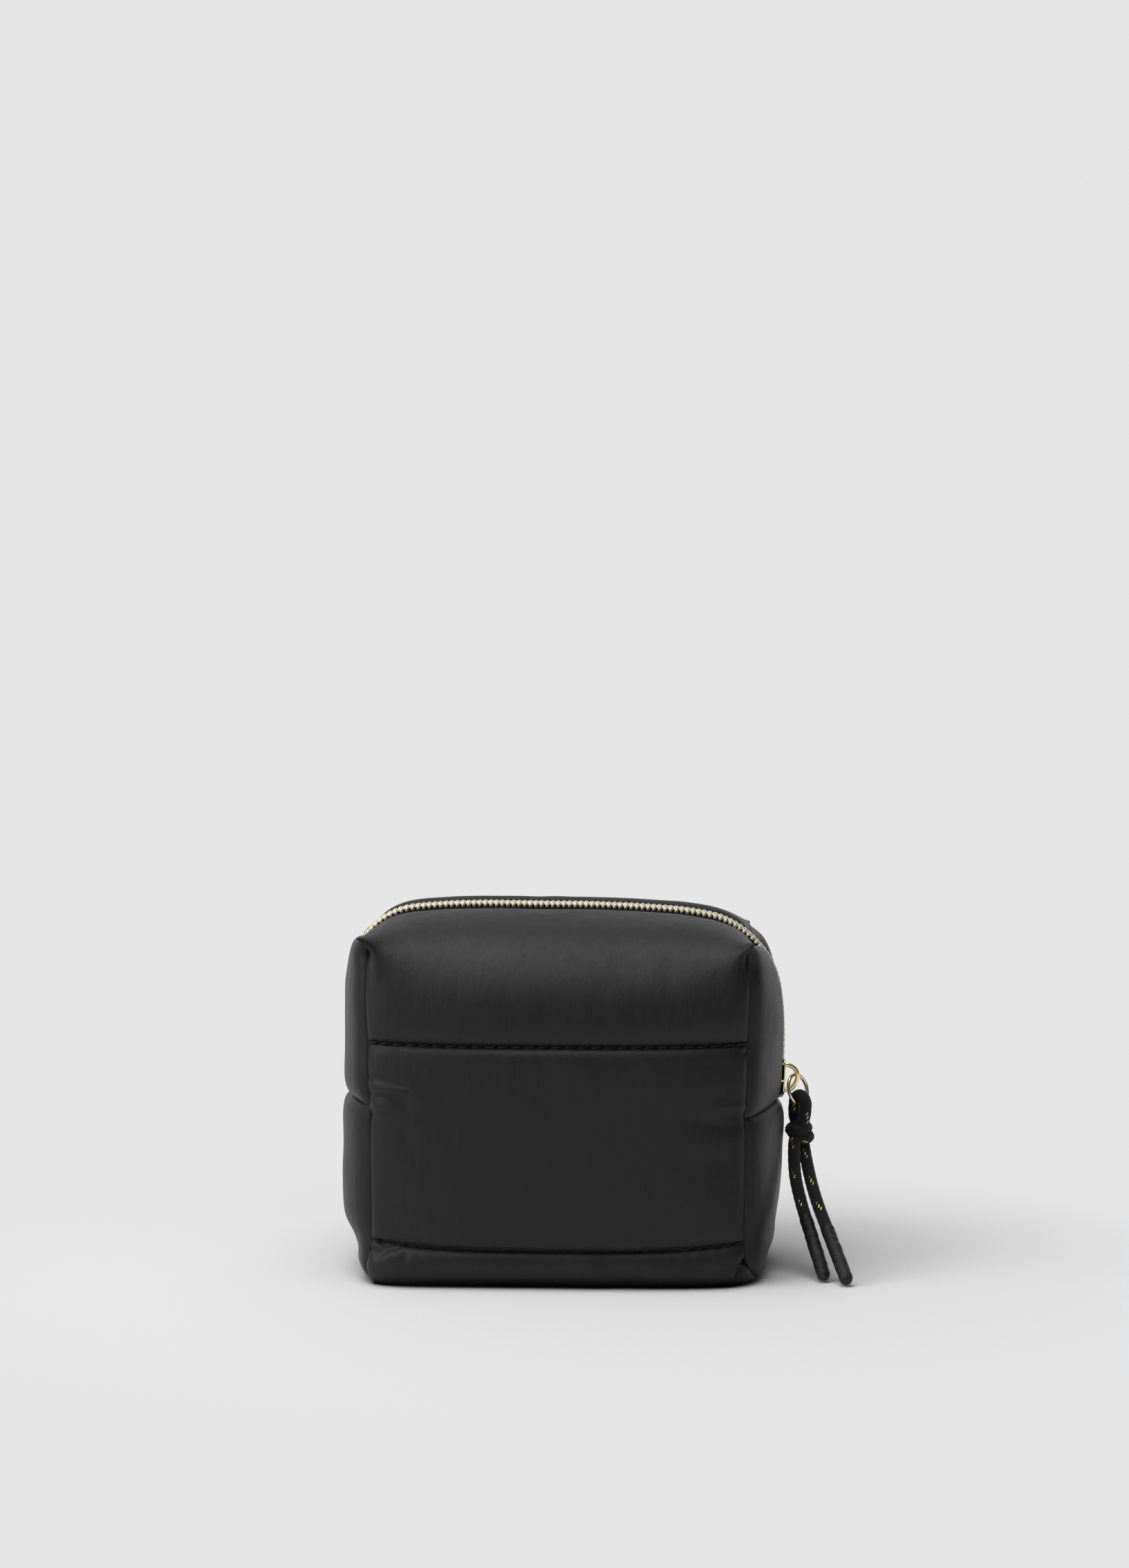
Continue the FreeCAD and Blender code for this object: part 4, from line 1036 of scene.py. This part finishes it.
def tube_rings(path, radius, sides):
    """Rings along a path that don't twist; radius is one number, or one for each ring and side."""
    path = np.asarray(path, float)
    headings = np.gradient(path, axis=0)
    headings /= np.linalg.norm(headings, axis=1, keepdims=True)
    up = (0.0, 0.0, 1.0) if abs(headings[0, 2]) < 0.95 else (1.0, 0.0, 0.0)
    across = np.cross(headings[0], up)
    turn = np.linspace(0, 2 * math.pi, sides, endpoint=False)
    rings = []
    for point, heading, reach in zip(path, headings, np.broadcast_to(radius, (len(path), sides))):
        across = across - heading * (across @ heading)
        across /= np.linalg.norm(across)
        ring = np.cos(turn)[:, None] * across + np.sin(turn)[:, None] * np.cross(heading, across)
        rings.append(point + reach[:, None] * ring)
    return np.array(rings)


def tube_faces(rings, sides, first=0):
    index = first + np.arange(rings * sides).reshape(rings, sides)
    turned = np.roll(index, -1, axis=1)
    faces = np.stack([index[:-1], turned[:-1], turned[1:], index[1:]], axis=2).reshape(-1, 4).tolist()
    return faces + [index[0][::-1].tolist(), index[-1].tolist()]


def many_tubes(name, paths, radius, sides, material):
    """One mesh of tubes whose paths all have the same number of points."""
    points, faces = [], []
    for path in paths:
        faces += tube_faces(len(path), sides, first=len(points) * len(path) * sides)
        points.append(tube_rings(path, radius, sides).reshape(-1, 3))
    return make_piece(name, np.vstack(points), faces, material)


# Quilting thread

def make_stitches(settled):
    """Thread in the quilting lines, one short slanted stitch after another between the holes."""
    share = np.linspace(*STITCH_SPAN, STITCH_POINTS)
    for half, (outer, quilts) in settled.items():
        for row, (level, (radius, stand)) in zip(quilts, QUILT_THREADS.items()):
            line = outer[row]
            count = round(length_of(line) / STITCH_STEP)
            paths = []
            for i in range(count):
                path = spaced(line, (i + share) / count)
                path[:, 1] += half * (STITCH_LIFT + stand * np.sin(math.pi * share) ** STITCH_FULLNESS)
                path[:, 2] += half * STITCH_SLANT * (1 - 2 * share)
                paths.append(path)
            name = f"{FACES[half]}_{level}_stitches"
            thread = many_tubes(name, paths, radius, STITCH_SIDES, THREAD)
            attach(thread, "case")


# Zip

def coil_paths(half, first_run, last_run):
    """Coil turns of one row between two places on the zip, on one running count along its whole length."""
    start = -zip_run(SIDE_SEAM_HEIGHTS[LEFT][1] + COIL_FOOT) + (ZIP_PITCH / 2 if half == BACK else 0)
    runs = [run for run in np.arange(start, last_run, ZIP_PITCH) if run > first_run]
    turns = [[zip_point(run + half * d * COIL_SLANT, half * d, offset) for d, offset in COIL] for run in runs]
    return [through(turn, COIL_POINTS) for turn in turns]


def make_coil(name, paths, replaced):
    """Coil turns as one piece."""
    coil = many_tubes(name, paths, COIL_WIRE, COIL_SIDES, ZIP_GOLD)
    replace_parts(coil, replaced)
    return coil


def make_zip():
    """Coil rows on two tapes, closed all the way; their turns below the fold stay with the case."""
    fold = zip_run(FOLD_HEIGHT)
    left_foot, right_foot = (zip_run(SIDE_SEAM_HEIGHTS[side][1] + TAPE_FOOT) for side in (LEFT, RIGHT))
    runs = np.linspace(-left_foot, right_foot, TAPE_STATIONS)
    tape_faces = tube_faces(len(runs), len(TAPE_SECTION))
    for half, end in ((FRONT, "left"), (BACK, "right")):
        face = FACES[half]
        bend_with(make_coil(f"{face}_zip_coil", coil_paths(half, -fold, fold), f"{face}_zip_teeth"), half)
        places = [zip_point(run, half * d, offset) for run in runs for d, offset in TAPE_SECTION]
        tape = make_piece(f"{face}_tape", places, tape_faces, TAPE)
        bend_with(tape, half)
        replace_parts(tape, f"{face}_zip_tape", f"{end}_zip_tape_end")
    slider_top = zip_run(SLIDER_HIGH - COIL_IN_SLIDER)
    for end, first, last in (("left", -left_foot, -fold), ("right", fold, slider_top)):
        coil = make_coil(f"{end}_coil_end", coil_paths(FRONT, first, last) + coil_paths(BACK, first, last),
                         f"{end}_zip_teeth_end")
        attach(coil, "case")
        if end == "right":
            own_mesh(coil)


def make_stops():
    """A bent staple across both rows at each end of the zip."""
    for side, end in ENDS.items():
        run = side * zip_run(SIDE_SEAM_HEIGHTS[side][1] + STOP_FOOT)
        path = through([zip_point(run, y, offset) for y, offset in STAPLE], STAPLE_POINTS)
        stop = many_tubes(f"{end}_staple", [path], STAPLE_WIRE, STAPLE_SIDES, ZIP_GOLD)
        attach(stop, "case")
        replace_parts(stop, f"{end}_zip_stop")


# Slider and ring

def lofted(name, lofts, material):
    """One mesh of closed forms, each a section carried through its stations."""
    points, faces = [], []
    for section, stations in lofts:
        faces += tube_faces(len(stations), len(section), first=len(points))
        points += [(x + lean, y * width, z) for z, width, lean in stations for x, y in section]
    return make_piece(name, points, faces, material)


def make_slider():
    """Slider: two thin plates, the bars and divider between them, and the bridge for the ring."""
    body = lofted("slider", [(OUTER_PLATE, SLIDER_STATIONS), (INNER_PLATE, SLIDER_STATIONS),
                             (CROSS_BAR, UPPER_BAR), (CROSS_BAR, MIDDLE_BAR), (DIVIDER, DIVIDER_STATIONS)],
                  HARDWARE_GOLD)
    bevel = body.modifiers.new("rounded", "BEVEL")
    bevel.width = PLATE_ROUNDING * MM
    bevel.segments = 3
    bevel.limit_method = "ANGLE"
    bevel.harden_normals = True
    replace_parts(body, "slider_body")

    path = through([(x, 0, BRIDGE_MIDDLE + z) for x, z in BRIDGE_PATH], BRIDGE_RINGS)
    turn = np.linspace(0, 2 * math.pi, BRIDGE_SIDES, endpoint=False)
    wide, thick = np.abs(np.cos(turn)) / BRIDGE_HALF_WIDTH, np.abs(np.sin(turn)) / BRIDGE_HALF_THICKNESS
    strap = (wide ** BRIDGE_SQUARENESS + thick ** BRIDGE_SQUARENESS) ** (-1 / BRIDGE_SQUARENESS)
    bridge = many_tubes("bridge", [path], strap, BRIDGE_SIDES, HARDWARE_GOLD)
    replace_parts(bridge, "slider_bridge")
    channel = lofted("slider_channel", [(SLIDER_CHANNEL, CHANNEL_STATIONS)], TAPE)
    for piece, slot in ((body, "hardware"), (bridge, "hardware"), (channel, "zip_tape")):
        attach(piece, "slider")
    dress("pull_ring", HARDWARE_GOLD)


# Cord

def evenly(path):
    return spaced(path, 1 + round(length_of(path) / CORD_STEP))


def cord_line(route):
    """Points along a tail's smooth line."""
    curve = bpy.data.curves.new("route", "CURVE")
    curve.dimensions = "3D"
    spline = curve.splines.new("NURBS")
    spline.points.add(len(route) - 1)
    for control, place in zip(spline.points, route):
        control.co = (*(value * MM for value in place), 1)
    spline.order_u = 3
    spline.use_endpoint_u = True
    spline.resolution_u = 24
    holder = bpy.data.objects.new("route", curve)
    line = bpy.data.meshes.new_from_object(holder)
    points = np.array([vertex.co for vertex in line.vertices]) / MM
    bpy.data.objects.remove(holder)
    bpy.data.meshes.remove(line)
    return evenly(points)


def braid(name, path):
    """A braided cord: two sets of yarns that cross, with a map of turns around and millimetres along."""
    sides = BRAID_SIDES
    run = TRACER_STARTS[name] + np.linspace(0, length_of(path), len(path))[:, None]
    turn = np.linspace(0, 2 * math.pi, sides, endpoint=False)[None]
    yarns = np.maximum(*(np.cos(BRAID_YARNS * turn + way * BRAID_PITCH * run) for way in (1, -1)))
    piece = many_tubes(name, [path], CORD_RADIUS - YARN_DEPTH + YARN_RELIEF * yarns, sides, CORD)
    lay = piece.data.uv_layers.new(name="lay")
    for polygon in piece.data.polygons:
        corners = [piece.data.loops[i].vertex_index for i in polygon.loop_indices]
        columns = [corner % sides for corner in corners]
        wraps = max(columns) - min(columns) > sides / 2
        for i, corner, column in zip(polygon.loop_indices, corners, columns):
            around = column / sides + (1 if wraps and column == 0 else 0)
            lay.data[i].uv = (around, run[corner // sides, 0])
    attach(piece, "pull_cord")
    return piece


def make_sleeve(name, path):
    """Leather sleeve: a turned-in mouth, faint creases along it, and a round tip."""
    covered = spaced(path, np.linspace(1 - SLEEVE_LENGTH / length_of(path), 1, SLEEVE_RINGS))
    heading = covered[-1] - covered[-2]
    heading /= np.linalg.norm(heading)
    dome = np.linspace(0, DOME_ANGLE, DOME_RINGS)[1:, None]
    rings = np.vstack([covered, covered[-1] + heading * SLEEVE_RADIUS * np.sin(dome)])
    creases = uneven(name, (len(rings), SLEEVE_SIDES // 2), CREASE_WAVE)
    radius = SLEEVE_RADIUS * (1 + SLEEVE_CREASE * np.hstack([creases, creases[:, ::-1]]))
    radius[:len(SLEEVE_MOUTH)] *= np.array(SLEEVE_MOUTH)[:, None]
    radius[len(covered):] *= np.cos(dome)
    piece = many_tubes(name, [rings], radius, SLEEVE_SIDES, SLEEVE)
    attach(piece, "pull_cord")
    return piece


def loop_route():
    """Up one leg from the knot, over the ring's wire and down the other leg."""
    out = np.array([math.cos(LOOP_TURN), -math.sin(LOOP_TURN), 0])
    arch = [np.array(LOOP_MIDDLE) + LOOP_RADIUS * (-out * math.cos(a) + np.array((0, 0, math.sin(a))))
            for a in np.linspace(0, math.pi, LOOP_POINTS)]
    return [*LOOP_UP, *arch, *LOOP_DOWN]


def knot_route():
    """One wrap round both strands and a second, lower on the right, that leaves towards the left tail."""
    x, y, z = KNOT_MIDDLE
    along, narrower, drop = KNOT_SECOND
    wraps = []
    for share in np.linspace(0, 1, KNOT_POINTS):
        turn = KNOT_FIRST_ANGLE + KNOT_ANGLE * share
        lower = float(rising(share, *KNOT_CHANGE))
        reach = KNOT_RADIUS + narrower * lower
        wraps.append((x + along * lower + reach * math.cos(turn), y + reach * math.sin(turn),
                      z + drop * lower + KNOT_TILT * math.sin(turn + KNOT_TILT_TURN)))
    return [KNOT_START, *wraps, *KNOT_END, TAIL_ROUTES["left"][0]]


def make_cord():
    """Loop through the ring, knot, and two tails with their sleeves."""
    for name, route, replaced in (("cord_fold", loop_route(), "cord_loop"),
                                  ("overhand_knot", knot_route(), "cord_knot")):
        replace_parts(braid(name, evenly(through(route))), replaced)
    for end, route in TAIL_ROUTES.items():
        path = cord_line(route)
        tail = braid(f"{end}_tail", path)
        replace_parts(tail, f"cord_tail_{end}")
        sleeve = make_sleeve(f"{end}_tail_sleeve", path)
        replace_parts(sleeve, f"cord_end_{end}")


# Floor, light and camera

def make_stage():
    """Pale sweep: lit and shaded near the case, with a contact shadow painted dark into its colour under the
    case; one even tone further off for camera, gloss and glass.
    """
    finish = Finish("studio_floor", {"Roughness": 0.9, "Specular IOR Level": 0.1})
    # Painted shadow: the floor's colour goes dark where little open sky is left close to the case, except at
    # its ends
    open_sky = finish.add("ShaderNodeAmbientOcclusion", {"samples": 8}, {"Distance": PAINTED_SHADOW_REACH}, "AO")
    clear = finish.ramp(open_sky, *PAINTED_SHADOW_FADE, shape="SMOOTHSTEP")
    beside = finish.ramp(finish.along((1, 0, 0)).size(), *PAINTED_SHADOW_ENDS, shape="SMOOTHSTEP")
    painted_shadow = (1 - clear) * (1 - beside)
    # grey(0.03) is the painted contact shadow's colour
    finish.feed(finish.shader, {"Base Color": finish.mix(painted_shadow, grey(0.9), grey(0.03))})
    away = finish.add("ShaderNodeVectorMath", {"operation": "LENGTH"}, {0: finish.place()}, "Value")
    far = finish.ramp(away, *EVEN_FADE, shape="SMOOTHSTEP")
    camera, gloss, glass = (finish.add("ShaderNodeLightPath", output=f"Is {ray} Ray")
                            for ray in ("Camera", "Glossy", "Transmission"))
    seen = camera + gloss + glass
    even = finish.add("ShaderNodeEmission", values={"Color": grey(BACKDROP_TONE)})
    lit = Link(finish, finish.shader.outputs[0])
    mixed = finish.add("ShaderNodeMixShader", values={0: far * seen, 1: lit, 2: even})
    finish.feed(finish.tree.nodes["Material Output"], {"Surface": mixed})
    bend = np.linspace(0, math.pi / 2, 14)
    sweep = [(FLOOR_BACK + SWEEP_RADIUS * math.sin(a), SWEEP_RADIUS * (1 - math.cos(a))) for a in bend]
    profile = [(FLOOR_FRONT, 0.0), *sweep, (FLOOR_BACK + SWEEP_RADIUS, BACKDROP_HEIGHT)]
    sides = (-FLOOR_HALF_WIDTH, FLOOR_HALF_WIDTH)
    points = [(x / MM, y / MM, z / MM) for y, z in profile for x in sides]
    make_piece("studio_floor", points, grid_faces(len(profile), 2), finish.material)


def make_light():
    """Two softboxes and a dim surround that darkens to the right."""
    world = bpy.data.worlds.new("studio")
    bpy.context.scene.world = world
    world.use_nodes = True
    nodes = Nodes(world.node_tree)
    towards = nodes.add("ShaderNodeTexCoord", output="Generated")
    right = nodes.add("ShaderNodeSeparateXYZ", values={0: towards})
    dimmed = nodes.ramp(right, *SURROUND_SPAN, *SURROUND_TONES)
    seen = nodes.add("ShaderNodeLightPath", output="Is Camera Ray")
    strength = dimmed + seen * (BACKDROP_TONE - dimmed)
    nodes.feed(world.node_tree.nodes["Background"], {"Color": grey(1.0), "Strength": strength})
    for name, place, size, power in LAMPS:
        light = bpy.data.lights.new(name, "AREA")
        light.shape = "RECTANGLE"
        light.size, light.size_y = size
        light.energy = power
        lamp = bpy.data.objects.new(name, light)
        lamp.location = place
        lamp.rotation_euler = (Vector(LAMP_TARGET) - Vector(place)).to_track_quat("-Z", "Y").to_euler()
        bpy.context.scene.collection.objects.link(lamp)


def make_camera():
    """Camera at the photograph's viewing angle."""
    data = bpy.data.cameras.new("photo_camera")
    data.sensor_width = SENSOR_WIDTH
    data.lens = data.sensor_width * FOCAL_PIXELS / max(FRAME_SIZE)
    data.clip_start, data.clip_end = 0.05, 50
    camera = bpy.data.objects.new("photo_camera", data)
    camera.location = [value * MM for value in CAMERA_PLACE]
    camera.rotation_euler = (math.pi / 2 - CAMERA_TILT, 0, CAMERA_TURN)
    bpy.context.scene.collection.objects.link(camera)
    bpy.context.scene.camera = camera


def main():
    bpy.context.scene.view_settings.view_transform = "Standard"
    make_camera()
    make_cord()
    make_stage()
    make_light()
    make_stitches(make_wide_panels())
    make_strips()
    make_low_sides()
    make_base()
    make_zip()
    make_stops()
    make_slider()


main()
